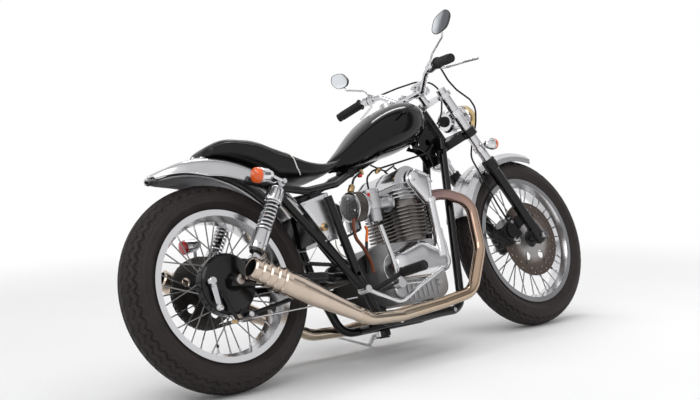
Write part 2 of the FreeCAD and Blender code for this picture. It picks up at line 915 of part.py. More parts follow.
def rim_form(centre, radius, width):
    half, well = width / 2, radius - size.rim_depth
    seat = radius - size.rim_depth / 2 - size.seat_gap
    flange = size.rim_flange
    return turned(centre, Y, [
        (-half, radius), (-half - flange, radius), (-half - flange, seat - flange),
        (-half / 2, well - flange), (half / 2, well - flange), (half + flange, seat - flange),
        (half + flange, radius), (half, radius), (half, seat),
        (half / 2, well), (-half / 2, well), (-half, seat)], "Rim")


def spokes(centre, well, ends):
    # Crossed spokes; each side's hub end has a radius and a distance from the middle.
    items = []
    step = FULL_TURN / size.spoke_count
    for number in range(int(size.spoke_count)):
        side = LEFT if number % 2 else RIGHT
        sweep = 1 if (number // 2) % 2 else -1
        radius, across = ends[side]
        rim_end = centre + Rotation(Y, number * step).multVec(
            Vector(0, side * size.rim_flange / 2 + sweep * size.spoke_stagger, well - size.rim_flange / 2))
        hub_end = centre + Rotation(Y, (number + 2 * sweep) * step).multVec(
            Vector(0, side * across + sweep * size.spoke_stagger, radius))
        spoke = doc.addObject("Part::Prism", "Spoke")
        spoke.Polygon = 4
        bind(spoke, "Circumradius", size.spoke_thickness / 2)
        spoke.Height = (rim_end - hub_end).Length
        spoke.Placement = Placement(hub_end, Rotation(Z, rim_end - hub_end))
        items.append(spoke)
    return items


def hub_form(centre, left, right, radius):
    # Spindle with a flange at each end.
    flange, waist = size.hub_flange, radius - size.hub_waist
    return turned(centre, Y, [
        (right, axle_bore), (right, radius), (right + flange, radius), (right + flange * 2, waist),
        (left - flange * 2, waist), (left - flange, radius), (left, radius), (left, axle_bore)], "Hub")


front_hub, rear_hub = size.front_hub_width / 2, size.rear_hub_width / 2
front_hub_end = (size.front_hub_diameter / 2 - size.rim_flange, front_hub - size.spoke_inset)
tyre(front_axle, size.front_tyre_radius, size.front_tyre_section, size.front_rim_radius,
     size.front_rim_width, "front_tyre")
node("front_wheel", fuse([
    rim_form(front_axle, size.front_rim_radius, size.front_rim_width),
    hub_form(front_axle, front_hub, -front_hub, size.front_hub_diameter / 2),
    *spokes(front_axle, size.front_rim_radius - size.rim_depth,
            {LEFT: front_hub_end, RIGHT: front_hub_end})], "FrontWheel"))

# The rear hub opens into a brake drum on the right
drum, drum_wall = size.drum_diameter / 2, size.drum_wall
drum_face = size.drum_flange_line - size.rim_flange
drum_mouth = rear_hub + size.drum_width - drum_wall
tyre(rear_axle, size.rear_tyre_radius, size.rear_tyre_section, size.rear_rim_radius,
     size.rear_rim_width, "rear_tyre")
drum_form = turned(rear_axle, Y, [
    (-drum_face + drum_wall, axle_bore), (-drum_face + drum_wall, size.rear_hub_diameter / 2),
    (-drum_face, drum), (-drum_mouth, drum), (-drum_mouth, drum - drum_wall),
    (-drum_face - drum_wall, drum - drum_wall), (-drum_face - drum_wall, axle_bore)], "Drum")
node("rear_wheel", fuse([
    rim_form(rear_axle, size.rear_rim_radius, size.rear_rim_width),
    hub_form(rear_axle, rear_hub, -drum_face, size.rear_hub_diameter / 2), drum_form,
    *spokes(rear_axle, size.rear_rim_radius - size.rim_depth, {
        LEFT: (size.rear_hub_diameter / 2 - size.rim_flange, rear_hub - size.spoke_inset),
        RIGHT: (drum - size.rim_flange, size.drum_flange_line)})], "RearWheel"))

# Brake disc, drilled, on a carrier at the right of the front hub
disc_thick, disc_y = size.disc_thickness, size.disc_offset
disc_inner = size.disc_inner_diameter / 2
disc = new_body("DiscRing", front_axle - Y * (disc_y - disc_thick / 2), UPRIGHT)
ring = sketch_on(disc)
draw_circle(ring, size.disc_diameter)
draw_circle(ring, size.disc_inner_diameter)
pad(disc, ring, disc_thick)
for row, stagger in ((size.disc_inner_row, 0), (size.disc_outer_row, 1)):
    hole = sketch_on(disc)
    draw_circle(hole, size.disc_hole, row)
    if stagger:
        hole.AttachmentOffset = Placement(Vector(), Rotation(Z, FULL_TURN / size.disc_hole_count / 2))
    round_pattern(disc, pocket_through(disc, hole, disc_thick), size.disc_hole_count)
carrier = turned(front_axle, Y, [
    (-front_hub, axle_bore), (-front_hub, size.carrier_root), (-disc_y + disc_thick / 2, size.carrier_waist),
    (-disc_y + disc_thick / 2, disc_inner + size.carrier_lap),
    (-disc_y - disc_thick / 2, disc_inner + size.carrier_lap),
    (-disc_y - disc_thick / 2, size.carrier_root), (-front_hub - size.carrier_foot, size.carrier_foot_radius),
    (-front_hub - size.carrier_foot, axle_bore)], "DiscCarrier")


def round_windows(centre, near, far, diameter, row, count):
    # Round holes on a circle, cut along the axle.
    items = []
    for number in range(int(count)):
        hub_to_hole = Rotation(Y, FULL_TURN * number / count).multVec(X * row)
        items.append(cylinder(centre + hub_to_hole + Y * near, centre + hub_to_hole + Y * far, diameter,
                              "Window"))
    return items


node("front_brake_disc", fuse([disc, cut(carrier, round_windows(
    front_axle, -disc_y - disc_thick, -front_hub, size.carrier_window,
    (disc_inner + size.carrier_waist) / 2, size.carrier_window_count), "Carrier")], "Disc"))

# Rear sprocket, toothed and pierced, on the left of the rear hub
sprocket_in = size.chain_line - size.sprocket_thickness / 2
sprocket_out = size.chain_line + size.sprocket_thickness / 2
root = size.sprocket_diameter / 2 - size.tooth_height
sprocket_disc = turned(rear_axle, Y, [
    (rear_hub, axle_bore), (rear_hub, size.sprocket_hub / 2), (sprocket_in, size.sprocket_hub_end / 2),
    (sprocket_in, root), (sprocket_out, root), (sprocket_out, axle_bore)], "SprocketDisc")
teeth = new_body("Teeth", rear_axle + Y * sprocket_out, UPRIGHT)
tooth = sketch_on(teeth)
draw_polygon(tooth, [(root - size.tooth_height, -size.tooth_width / 2), (root, -size.tooth_width / 2),
                     (size.sprocket_diameter / 2, -size.tooth_width / 6),
                     (size.sprocket_diameter / 2, size.tooth_width / 6),
                     (root, size.tooth_width / 2), (root - size.tooth_height, size.tooth_width / 2)])
round_pattern(teeth, pad(teeth, tooth, size.sprocket_thickness), size.tooth_count)
node("rear_sprocket", fuse([teeth, cut(sprocket_disc, round_windows(
    rear_axle, sprocket_in - size.overrun, sprocket_out + size.overrun, size.sprocket_window,
    (root + size.sprocket_hub / 2) / 2, size.sprocket_window_count), "SprocketOpened")], "Sprocket"))

# Chain round both sprockets: its outer edge is waisted once in every link
drive_sprocket = place("drive_sprocket") - Y * size.drive_sprocket_out


def chain_run(growth):
    # Points round the chain at the given distance outside the sprockets, each with its own length.
    rear_r, front_r = size.sprocket_diameter / 2 + growth, size.drive_sprocket_diameter / 2 + growth
    run = drive_sprocket - rear_axle
    away = math.atan2(run.z, run.x)
    tilt = math.asin((rear_r - front_r) / run.Length)
    straight = math.sqrt(run.Length ** 2 - (rear_r - front_r) ** 2)
    top = away + math.pi / 2 - tilt
    front_wrap, rear_wrap = math.pi - 2 * tilt, math.pi + 2 * tilt
    lengths = [straight, front_r * front_wrap, straight, rear_r * rear_wrap]

    def at(share):
        distance = share * sum(lengths)
        side = 0
        while distance > lengths[side] and side < 3:
            distance -= lengths[side]
            side += 1
        if side == 1 or side == 3:
            centre, radius = (drive_sprocket, front_r) if side == 1 else (rear_axle, rear_r)
            start = top if side == 1 else top - front_wrap
            turn = start - distance / radius
            return centre + Vector(math.cos(turn), 0, math.sin(turn)) * radius
        turn = top if side == 0 else top - front_wrap
        normal = Vector(math.cos(turn), 0, math.sin(turn))
        first = (rear_axle + normal * rear_r) if side == 0 else (drive_sprocket + normal * front_r)
        return first + Vector(math.sin(turn), 0, -math.cos(turn)) * distance
    return at, sum(lengths)


_, chain_length = chain_run(size.chain_height / 2)
link_count = 2 * round(chain_length / size.chain_pitch / 2)
chain_low = Y * (size.chain_line - size.chain_width / 2)
outer_at, _ = chain_run(size.chain_height + size.seat_gap)
waist_at, _ = chain_run(size.chain_height + size.seat_gap - size.chain_waist)
inner_at, _ = chain_run(size.seat_gap)
chain_outer, chain_inner = [], []
for link in range(link_count):
    chain_outer += [waist_at(link / link_count) + chain_low,
                    outer_at((link + CHAIN_SHARES[0]) / link_count) + chain_low,
                    outer_at((link + CHAIN_SHARES[1]) / link_count) + chain_low]
    chain_inner.append(inner_at(link / link_count) + chain_low)
    chain_inner.append(inner_at((link + 1 / 2) / link_count) + chain_low)
bands = [Part.Face(Part.makePolygon(points + points[:1])).extrude(Y * size.chain_width)
         for points in (chain_outer, chain_inner)]
node("drive_chain", solid(bands[0].cut(bands[1]), "Chain"))

# Axles with their nuts
slider_y, arm_y = size.fork_spread / 2, size.swingarm_spread / 2


def axle(centre, seat, end, name):
    half = seat + size.axle_nut_length + end
    parts = [cylinder(centre - Y * half, centre + Y * half, size.axle_diameter)]
    for side in (LEFT, RIGHT):
        parts.append(cylinder(centre + Y * side * seat, centre + Y * side * (seat + size.axle_nut_length),
                              size.axle_nut_diameter, "AxleNut"))
    return node(name, fuse(parts, "Axle"))


axle(front_axle, slider_y + size.slider_diameter / 2 + size.seat_gap, size.axle_end, "front_axle")
axle(rear_axle, arm_y + size.swingarm_tube / 2 + size.seat_gap, size.rear_axle_end,
     "rear_axle")

# Fork legs
leg = size.fork_offset
stanchions, sliders = [], []
slider_top = size.slider_length - size.slider_foot
for side in (LEFT, RIGHT):
    across = side * slider_y
    stanchions.append(cylinder(on_fork(leg, across, slider_top + size.seat_gap),
                               on_fork(leg, across, size.fork_length), size.stanchion_diameter))
    slider_r, toe, collar = size.slider_diameter / 2, size.slider_toe / 2, size.slider_collar / 2
    slider = turned(on_fork(leg, across, 0), fork_up, [
        (-size.slider_foot, 0), (-size.slider_foot, toe),
        (-size.slider_foot + size.slider_toe_rise, slider_r),
        (size.slider_shoulder, slider_r),
        (size.slider_shoulder + size.slider_toe_rise, size.slider_waist / 2),
        (slider_top - size.slider_collar_length - size.slider_toe_rise, size.slider_waist / 2),
        (slider_top - size.slider_collar_length, slider_r), (slider_top - size.slider_collar_length, collar),
        (slider_top - size.slider_toe_rise, collar), (slider_top, slider_r), (slider_top, 0)], "Slider")
    if side == RIGHT:
        lug_low = (leg - size.caliper_lug_back, -slider_y, size.caliper_lug_level)
        lug_high = (leg, -slider_y + size.caliper_lug_width,
                    size.caliper_lug_level + size.caliper_lug_height)
        slider = fuse([slider, box(lug_low, lug_high, fork_turn, on_fork(*lug_low))], "SliderLug")
    reach = size.slider_diameter
    sliders.append(cut(slider, [cylinder(
        front_axle + Y * (across - reach), front_axle + Y * (across + reach), axle_bore * 2)], "SliderBored"))
node("fork_tubes", fuse(stanchions, "Stanchions"))
node("fork_sliders", fuse(sliders, "Sliders"))

# Yokes: a web in plan and a split boss round each leg
stanchion_bore = size.stanchion_diameter + size.running_gap * 2


def leg_ring(level, height, diameter, side, bore):
    # A ring round one leg.
    low, high = on_fork(leg, side * slider_y, level), on_fork(leg, side * slider_y, level + height)
    return cut(cylinder(low, high, diameter), [cylinder(
        low - fork_up * size.overrun, high + fork_up * size.overrun, bore)], "LegRing")


def yoke(level, thickness, name):
    boss, neck = size.stanchion_diameter + size.yoke_leg_wall * 2, size.yoke_stem_radius
    right_half = [(-neck, -neck * YOKE_SHARES[0]), (-neck * YOKE_SHARES[1], -neck),
                  (leg - boss * YOKE_SHARES[2], -slider_y), (leg + boss * YOKE_SHARES[2], -slider_y),
                  (leg + boss * YOKE_SHARES[2], -slider_y + boss / 2), (leg + boss * YOKE_SHARES[3], 0)]
    left_half = [(ahead, -across) for ahead, across in reversed(right_half[:-1])]
    web = new_body(name, on_fork(0, 0, level), fork_turn)
    sketch = sketch_on(web)
    draw_polygon(sketch, right_half + left_half)
    pad(web, sketch, thickness)
    bosses, bores = [], []
    for side in (LEFT, RIGHT):
        low, high = on_fork(leg, side * slider_y, level), on_fork(leg, side * slider_y, level + thickness)
        bosses.append(cylinder(low, high, boss, "Boss"))
        bores.append(cylinder(low - fork_up * size.overrun, high + fork_up * size.overrun, stanchion_bore,
                              "Bore"))
    return cut(fuse([web, *bosses], name + "Solid"), bores, name + "Bored")


stem = cylinder(on_fork(0, 0, size.lower_yoke_level), on_fork(0, 0, size.top_yoke_level), size.stem_diameter)
node("lower_yoke", fuse([yoke(size.lower_yoke_level, size.lower_yoke_thickness, "LowerYoke"), stem],
                        "LowerYokeStem"))
yoke_top = size.top_yoke_level + size.top_yoke_thickness
stem_nut = cylinder(on_fork(0, 0, yoke_top - size.overrun), on_fork(0, 0, yoke_top + size.stem_nut_height),
                    size.stem_nut_diameter, "StemNut")
node("top_yoke", fuse([yoke(size.top_yoke_level, size.top_yoke_thickness, "TopYoke"), stem_nut],
                      "TopYokeNut"))

# Handlebar on its risers
risers = []
for side in (LEFT, RIGHT):
    clamp = fork_place("bar_clamp", side)
    across = side * size.bar_clamp_out
    base = on_fork(size.riser_ahead, across, yoke_top + size.seat_gap)
    risers += [cylinder(base, on_fork(size.riser_ahead, across, yoke_top + size.riser_foot_height),
                        size.riser_foot_diameter, "RiserFoot"),
               cylinder(base, clamp, size.riser_diameter, "Riser"),
               cylinder(clamp - Y * size.riser_clamp_width / 2, clamp + Y * size.riser_clamp_width / 2,
                        size.riser_clamp_diameter, "Clamp")]
bar_places = ("bar_middle", "bar_rise", "bar_bend", "bar_end")
bar_points = [fork_place(name, RIGHT) for name in reversed(bar_places)]
bar_points += [fork_place(name, LEFT) for name in bar_places]
node("handlebar", fuse([bent_tube(bar_points, size.bar_diameter, size.bar_bend, "Bar"), *risers],
                       "Handlebar"))

# Grips, levers and mirrors on the bar
grips, levers, mirrors = [], [], []
bar_bore = size.bar_diameter + size.seat_gap * 2


def on_bar(side, share):
    # A point of the straight stretch inside a grip.
    inner, outer = fork_place("bar_rise", side), fork_place("bar_bend", side)
    return inner + (outer - inner) * share


def bar_clamp(side, shares, diameter):
    # A ring round that stretch.
    start, end = (on_bar(side, share) for share in shares)
    way = (end - start).normalize() * size.overrun
    return cut(cylinder(start, end, diameter), [cylinder(start - way, end + way, bar_bore)], "BarClamp")


for side in (LEFT, RIGHT):
    start, end = fork_place("bar_bend", side), fork_place("bar_end", side)
    way = (end - start).normalize()
    length = (end - start).Length - size.grip_start + size.grip_flange_length
    sleeve = turned(start + way * size.grip_start, way, [
        (0, 0), (0, size.grip_flange / 2), (size.grip_flange_length, size.grip_flange / 2),
        (size.grip_flange_length, size.grip_diameter / 2), (length, size.grip_diameter / 2), (length, 0)],
        "Grip")
    grips.append(cut(sleeve, [cylinder(start, end + way * size.seat_gap,
                                       size.bar_diameter + size.running_gap * 2)], "GripBored"))
    levers.append(fuse([
        bar_clamp(side, PERCH_SHARES, size.perch_diameter),
        bent_tube([fork_place(name, side) for name in ("lever_root", "lever_knee", "lever_reach",
                                                       "lever_tip")],
                  size.lever_diameter, size.lever_bend, "LeverBlade")], "Lever"))
    stem_points = [fork_place(name, side) for name in ("mirror_root", "mirror_low", "mirror_high",
                                                       "mirror_back")]
    glass = new_body("MirrorShell", fork_place("mirror_middle", side) - X * size.mirror_depth / 2,
                     Rotation(Y, Z, X))
    sketch = sketch_on(glass)
    half, rise = size.mirror_width / 2, size.mirror_height / 2
    draw_polygon(sketch, [(side * half * across, rise * up) for across, up in MIRROR_SHARES])
    pad(glass, sketch, size.mirror_depth)
    mirrors.append(fuse([bar_clamp(side, MIRROR_CLAMP_SHARES, size.mirror_collar_diameter),
                         bent_tube(stem_points, size.mirror_stem, size.mirror_bend, "MirrorStem"), glass],
                         "Mirror"))
node("handlebar_grips", fuse(grips, "Grips"))
node("levers", fuse(levers, "Levers"))
node("mirrors", fuse(mirrors, "Mirrors"))

# Frame: head tube and backbone, cradle, gussets, cross tubes and the stand's ears
head_low = size.lower_yoke_level + size.lower_yoke_thickness + size.head_tube_gap
head_high = size.top_yoke_level - size.head_tube_gap
spine_front, spine_back = fork_place("spine_front"), place("spine_back")
cope = size.seat_gap * 2


def cradle_tube(side, diameter):
    points = [fork_place("head_cross", side)]
    points += [place(name, side) for name in ("cradle_front", "cradle_back", "cradle_rear", "cradle_top")]
    return bent_tube(points, diameter, size.frame_bend, "Cradle")


def cross_tube(name, diameter):
    # A tube from side to side through a place.
    return cylinder(place(name, RIGHT), place(name), diameter, "CrossTube")


gussets = []
for side in (LEFT, RIGHT):
    points = [fork_place(f"gusset_{name}", side) for name in GUSSET_CORNERS]
    outer = size.gusset_spread / 2 * side + size.gusset_thickness / 2
    gussets.append(side_plate([(point.x, point.z) for point in points], outer, size.gusset_thickness,
                              "Gusset"))
gusset_holes = []
for name, diameter in (("gusset_hole_high", size.gusset_hole), ("gusset_hole_low", size.gusset_hole),
                       ("gusset_hole_back", size.gusset_small_hole)):
    gusset_holes.append(cylinder(fork_place(name, RIGHT), fork_place(name, LEFT), diameter, "GussetHole"))

# The side stand's pin leans, and turns between two ears on a lug of the cradle
stand_pivot = place("stand_pivot")
stand_axis = Rotation(X, size.stand_lean_angle).multVec(Z)
ear_in, ear_out = size.stand_hub_half + size.seat_gap, size.stand_hub_half + size.seat_gap + size.stand_ear_wall
inward = X.cross(stand_axis)
ear_half = size.stand_ear / 2
stand_ears = [cylinder(stand_pivot - stand_axis * (ear_out + size.stand_pin_end),
                       stand_pivot + stand_axis * (ear_out + size.stand_pin_end), size.stand_pin, "StandPin")]
for way in (1, -1):
    near, far = sorted((way * ear_in, way * ear_out))
    stand_ears.append(cylinder(stand_pivot + stand_axis * near, stand_pivot + stand_axis * far,
                               size.stand_ear, "EarEnd"))
    stand_ears.append(box((-ear_half, 0, near), (ear_half, size.stand_ear_reach, far),
                          Rotation(X, inward, -stand_axis),
                          stand_pivot - X * ear_half + stand_axis * far))
stand_lug = box((stand_pivot.x - ear_half, size.stand_lug_in, stand_pivot.z - ear_half - size.stand_lug_drop),
                (stand_pivot.x + ear_half, size.stand_lug_out,
                 stand_pivot.z + ear_half + size.stand_lug_lift))
engine_lugs = []
for name in ("front_lug", "rear_lug"):
    middle = place(name)
    middle.y = 0
    half = size.engine_lug_length / 2
    engine_lugs += [cross_tube(name, size.engine_bolt), box(
        (middle.x - half, -size.engine_lug_half, middle.z),
        (middle.x + half, size.engine_lug_half, place("sump_front").z - size.case_corner - size.engine_gap))]
front_frame = [cylinder(on_fork(0, 0, head_low), on_fork(0, 0, head_high), size.head_tube_diameter,
                        "HeadTube"),
               cylinder(spine_front, spine_back, size.backbone_diameter, "Backbone"),
               cylinder(fork_place("head_cross", RIGHT), fork_place("head_cross", LEFT),
                        size.head_cross_diameter, "HeadCross"),
               cross_tube("seat_cross", size.seat_cross_diameter), stand_lug,
               *stand_ears, *gussets, *engine_lugs]
front_frame += [cradle_tube(side, size.down_tube_diameter) for side in (LEFT, RIGHT)]
stem_bore = cylinder(on_fork(0, 0, head_low) - fork_up * size.overrun,
                     on_fork(0, 0, head_high) + fork_up * size.overrun,
                     size.stem_diameter + size.running_gap * 2, "StemBore")
pivot_left, pivot_right = place("pivot_hole"), place("pivot_hole", RIGHT)
pivot_bore = cylinder(pivot_right, pivot_left, size.pivot_bolt, "PivotBore")
node("frame", cut(fuse(front_frame, "FrontFrame"), [stem_bore, pivot_bore, *gusset_holes], "Frame"))

# Rear frame: a seat rail and a stay on each side
for name, side in BOTH:
    top = place("shock_top", side)
    rail = bent_tube([place(point, side) for point in (
        "seat_rail_front", "seat_rail_bend", "seat_rail_low", "shock_top", "seat_rail_end")],
        size.rear_tube_diameter, size.frame_bend, "SeatRail")
    stay = cylinder(top, place("stay_foot", side), size.rear_tube_diameter, "Stay")
    bolt = cylinder(top, Vector(top.x, side * size.shock_bolt_end, top.z), size.seat_bolt, "ShockBolt")
    hold = place("fender_hold", side)
    fender_bar = cylinder(hold, Vector(hold.x, side * (size.rear_fender_half + size.seat_gap), hold.z),
                          size.fender_bar, "FenderBar")
    clear = [cradle_tube(side, size.down_tube_diameter + cope),
             cross_tube("seat_cross", size.seat_cross_diameter + cope)]
    node("rear_frame_" + name, cut(fuse([rail, stay, bolt, fender_bar], "RearFrameSide"), clear, "RearFrame"))

# Swingarm
arms = []
for side in (LEFT, RIGHT):
    shock_low = place("shock_low", side)
    arms += [bent_tube([place(point, side) for point in ("swing_pivot", "swing_neck", "swing_elbow",
                                                         "swing_end")],
                       size.swingarm_tube, size.swingarm_bend, "Arm"),
             cylinder(Vector(shock_low.x, shock_low.y, rear_axle.z), shock_low, size.shock_post, "ShockPost"),
             cylinder(shock_low - Y * side * size.shock_post / 2,
                      Vector(shock_low.x, side * size.shock_bolt_end, shock_low.z), size.shock_bolt,
                      "ShockBolt")]
pivot = place("swing_pivot")
pivot_at = Vector(pivot.x, 0, pivot.z)
torque_lug = place("torque_lug", RIGHT)
lug_half = size.torque_lug_length / 2
arms += [cylinder(pivot_at - Y * size.pivot_half, pivot_at + Y * size.pivot_half, size.pivot_diameter,
                  "Pivot"),
         box((torque_lug.x - lug_half, -arm_y - size.overrun, torque_lug.z - lug_half),
             (torque_lug.x + lug_half, torque_lug.y, torque_lug.z + lug_half * 2))]
arm_end = arm_y + size.swingarm_tube
node("swingarm", cut(fuse(arms, "SwingarmTubes"), [cylinder(
    rear_axle - Y * arm_end, rear_axle + Y * arm_end, axle_bore * 2, "AxleHole")], "Swingarm"))

# Engine: one closed mass, with its covers, cylinders and head outside


def circles_at(table):
    # Circles of (ahead, up, radius) from named places and sizes.
    return [(place(name).x, place(name).z, radius) for name, radius in table]


case_circles = circles_at([("sump_back", size.case_corner), ("sump_front", size.case_corner),
                           ("case_front", size.case_shoulder), ("case_back", size.case_shoulder),
                           ("gearbox", size.gearbox_radius)])
drive_hub = cylinder(drive_sprocket + Y * (size.case_half - size.overrun),
                     drive_sprocket + Y * (size.chain_line + size.sprocket_thickness / 2),
                     size.drive_sprocket_diameter, "DriveSprocket")
case = hull_cover(case_circles, -size.case_half, size.case_half, None, "Case")
node("crankcase", fuse([case, drive_hub], "Crankcase"))
case_top = place("case_front").z + size.case_shoulder


def finned(low, half_width, depth, start, fin, count, core, name):
    # Fins stacked up from a first one, round cores that hold them.
    fins = new_body(name + "Fins", Vector(low, 0, 0))
    sketch = sketch_on(fins, "XY_Plane", start)
    corner = size.fin_corner
    draw_polygon(sketch, [
        (corner, -half_width), (depth - corner, -half_width), (depth, -half_width + corner),
        (depth, half_width - corner), (depth - corner, half_width), (corner, half_width),
        (0, half_width - corner), (0, -half_width + corner)])
    first = pad(fins, sketch, fin, "Fin")
    row = fins.newObject("PartDesign::LinearPattern", "FinRow")
    row.Originals = [first]
    row.Direction = (next(f for f in fins.Origin.OriginFeatures if f.Role == "Z_Axis"), [""])
    bind(row, "Length", size.fin_pitch * (count - 1))
    row.Occurrences = int(count)
    fins.Tip = row
    return fuse([fins, *core], name)


barrel_middle = size.block_start + size.block_depth / 2
block_top = size.block_top
barrels = [cylinder(Vector(barrel_middle, side * size.barrel_spread / 2, case_top + size.engine_gap),
                    Vector(barrel_middle, side * size.barrel_spread / 2, block_top),
                    size.barrel_radius * 2, "Barrel")
           for side in (LEFT, RIGHT)]
tie = box((barrel_middle - size.barrel_tie / 2, -size.barrel_spread / 2, case_top + size.engine_gap),
          (barrel_middle + size.barrel_tie / 2, size.barrel_spread / 2, block_top))
node("cylinder_block", finned(size.block_start, size.block_width / 2, size.block_depth, size.fin_start,
                              size.fin_thickness, size.fin_count, [*barrels, tie], "Cylinders"))
head_low_z, head_top_z = block_top + size.engine_gap, size.head_top
inset = size.head_inset
head_core = box((size.block_start + inset, -size.block_width / 2 + inset, head_low_z),
                (size.block_start + size.block_depth - inset, size.block_width / 2 - inset, head_top_z))
reach = size.head_fin_reach
node("cylinder_head", finned(size.block_start - reach, size.block_width / 2 + size.head_fin_side,
                             size.block_depth + reach * 2, size.head_fin_start, size.fin_thickness,
                             size.head_fin_count, [head_core], "Head"))
cam_circles = circles_at([("cam_back", size.cam_end), ("cam_front", size.cam_end),
                          ("cam_top", size.cam_crown)])
cam = hull_cover(cam_circles, -size.cam_half, size.cam_half, None, "Cam")
cam_ribs = [hull_cover([(x, z, r + size.cam_rib_rise) for x, z, r in cam_circles], y - size.cam_rib / 2,
                       y + size.cam_rib / 2, None, "CamRib")
            for y in (-size.cam_half + size.cam_rib / 2, 0, size.cam_half - size.cam_rib / 2)]
cam_caps = [cylinder(Vector(barrel_middle, side * size.cam_half, place("cam_top").z - size.cam_cap_drop),
                     Vector(barrel_middle, side * (size.cam_half + size.cam_cap_rise),
                            place("cam_top").z - size.cam_cap_drop),
                     size.cam_cap_diameter, "CamCap") for side in (LEFT, RIGHT)]
below = box((size.block_start - size.block_depth, -size.block_width, size.fin_start),
            (size.block_start + size.block_depth * 2, size.block_width, head_top_z + size.engine_gap))
node("cam_cover", cut(fuse([cam, *cam_ribs, *cam_caps], "CamForm"), [below], "CamCover"))

# Side covers, rounded at their outer edge, with a smaller lid on each
cover_seat = size.case_half + size.engine_gap


def cover(name, circles, side, depth, lids):
    face = cover_seat + depth
    forms = [hull_cover(circles, side * cover_seat, side * face, size.cover_edge)]
    for centre, diameter, rise in lids:
        forms.append(turned(Vector(centre.x, side * face, centre.z), Y * side, [
            (-size.overrun, 0), (-size.overrun, diameter / 2), (rise - size.lid_edge, diameter / 2),
            (rise, diameter / 2 - size.lid_edge), (rise, 0)], "Lid"))
    return node(name, fuse(forms, "CoverForm"))


cover_circles = circles_at([("cover_back", size.cover_back_radius),
                            ("cover_middle", size.cover_middle_radius),
                            ("cover_nose", size.cover_nose_radius),
                            ("cover_middle", size.cover_middle_radius)])
cover("engine_cover_right", cover_circles, RIGHT, size.right_cover_depth,
      [(place("cover_middle"), size.right_lid, size.lid_rise),
       (place("cover_back"), size.small_lid, size.lid_rise)])
left_circles = circles_at([("left_back", size.left_back_radius), ("left_front", size.left_front_radius)])
cover("engine_cover_left", left_circles, LEFT, size.left_cover_depth,
      [(place("left_front"), size.left_lid, size.lid_rise)])

# Cam drive: a tower from the right cover up to a bevel cover at the head
foot, top = place("tower_foot", RIGHT), place("tower_top", RIGHT)
way = (top - foot).normalize()
tower_length = (top - foot).Length
collar_r, tower_r = size.tower_collar / 2, size.tower_diameter / 2
tower = turned(foot, way, [
    (0, 0), (0, tower_r), (size.tower_skirt, tower_r), (size.tower_skirt, collar_r),
    (size.tower_skirt + size.tower_collar_length, collar_r),
    (size.tower_skirt + size.tower_collar_length, tower_r),
    (tower_length - size.tower_collar_length * 2, tower_r),
    (tower_length - size.tower_collar_length * 2, collar_r),
    (tower_length, collar_r), (tower_length, 0)], "Tower")
bevel_seat = size.block_width / 2 + size.head_fin_side + size.engine_gap
bevel_circles = circles_at([("bevel_low", size.bevel_low_radius), ("bevel_front", size.bevel_front_radius),
                            ("bevel_back", size.bevel_back_radius)])
bevel_face = bevel_seat + size.bevel_depth
bevel = hull_cover(bevel_circles, -bevel_seat, -bevel_face, size.bevel_edge, "Bevel")
room = hull_cover([(x, z, r + size.engine_gap) for x, z, r in cover_circles], -size.case_half + size.overrun,
                  -bevel_face - size.block_width, None, "TowerRoom")
node("bevel_drive", cut(fuse([tower, bevel], "BevelForm"), [room], "BevelDrive"))

# Carburettors and open air filters
carbs, filters = [], []
filter_r = size.filter_diameter / 2
for side in (LEFT, RIGHT):
    throat = Vector(size.carb_back, side * size.carb_spread / 2, size.carb_level)
    to_block = size.block_start - size.head_fin_reach - size.engine_gap - size.carb_back
    body_at = Vector(size.carb_middle, side * size.carb_spread / 2, size.carb_level)
    carbs.append(fuse([
        turned(throat, X, [(0, 0), (0, size.carb_throat / 2),
                           (to_block - size.carb_flange, size.carb_throat / 2),
                           (to_block - size.carb_flange, size.carb_flange_radius),
                           (to_block, size.carb_flange_radius), (to_block, 0)], "Throat"),
        turned(body_at, Z, [
            (-size.bowl_drop, 0), (-size.bowl_drop, size.bowl_radius - size.lid_edge),
            (-size.bowl_drop + size.lid_edge, size.bowl_radius), (-size.carb_waist, size.bowl_radius),
            (-size.carb_waist, size.carb_radius), (size.carb_rise - size.carb_cap, size.carb_radius),
            (size.carb_rise - size.carb_cap, size.carb_radius + size.filter_step),
            (size.carb_rise - size.lid_edge, size.carb_radius + size.filter_step),
            (size.carb_rise, size.carb_radius - size.lid_edge), (size.carb_rise, 0)], "CarbBody")], "Carb"))
    filter_back = Vector(size.carb_back - size.engine_gap - size.filter_length, side * size.filter_spread / 2,
                         size.filter_level)
    filters.append(turned(filter_back, X, [
        (0, 0), (0, filter_r - size.filter_cap), (size.filter_step, filter_r), (size.filter_cap, filter_r),
        (size.filter_cap, filter_r - size.filter_step),
        (size.filter_length - size.filter_cap, filter_r - size.filter_step),
        (size.filter_length - size.filter_cap, filter_r), (size.filter_length, filter_r),
        (size.filter_length, 0)], "Filter"))
node("carburettors", fuse(carbs, "Carbs"))
node("air_filters", fuse(filters, "Filters"))

# Exhausts: the left muffler sits further back along the same line
def muffler_line(side):
    start, end = place("muffler_start", side), place("muffler_end", side)
    way = (end - start).normalize()
    back = size.left_muffler_back if side == LEFT else 0
    return start + way * back, way


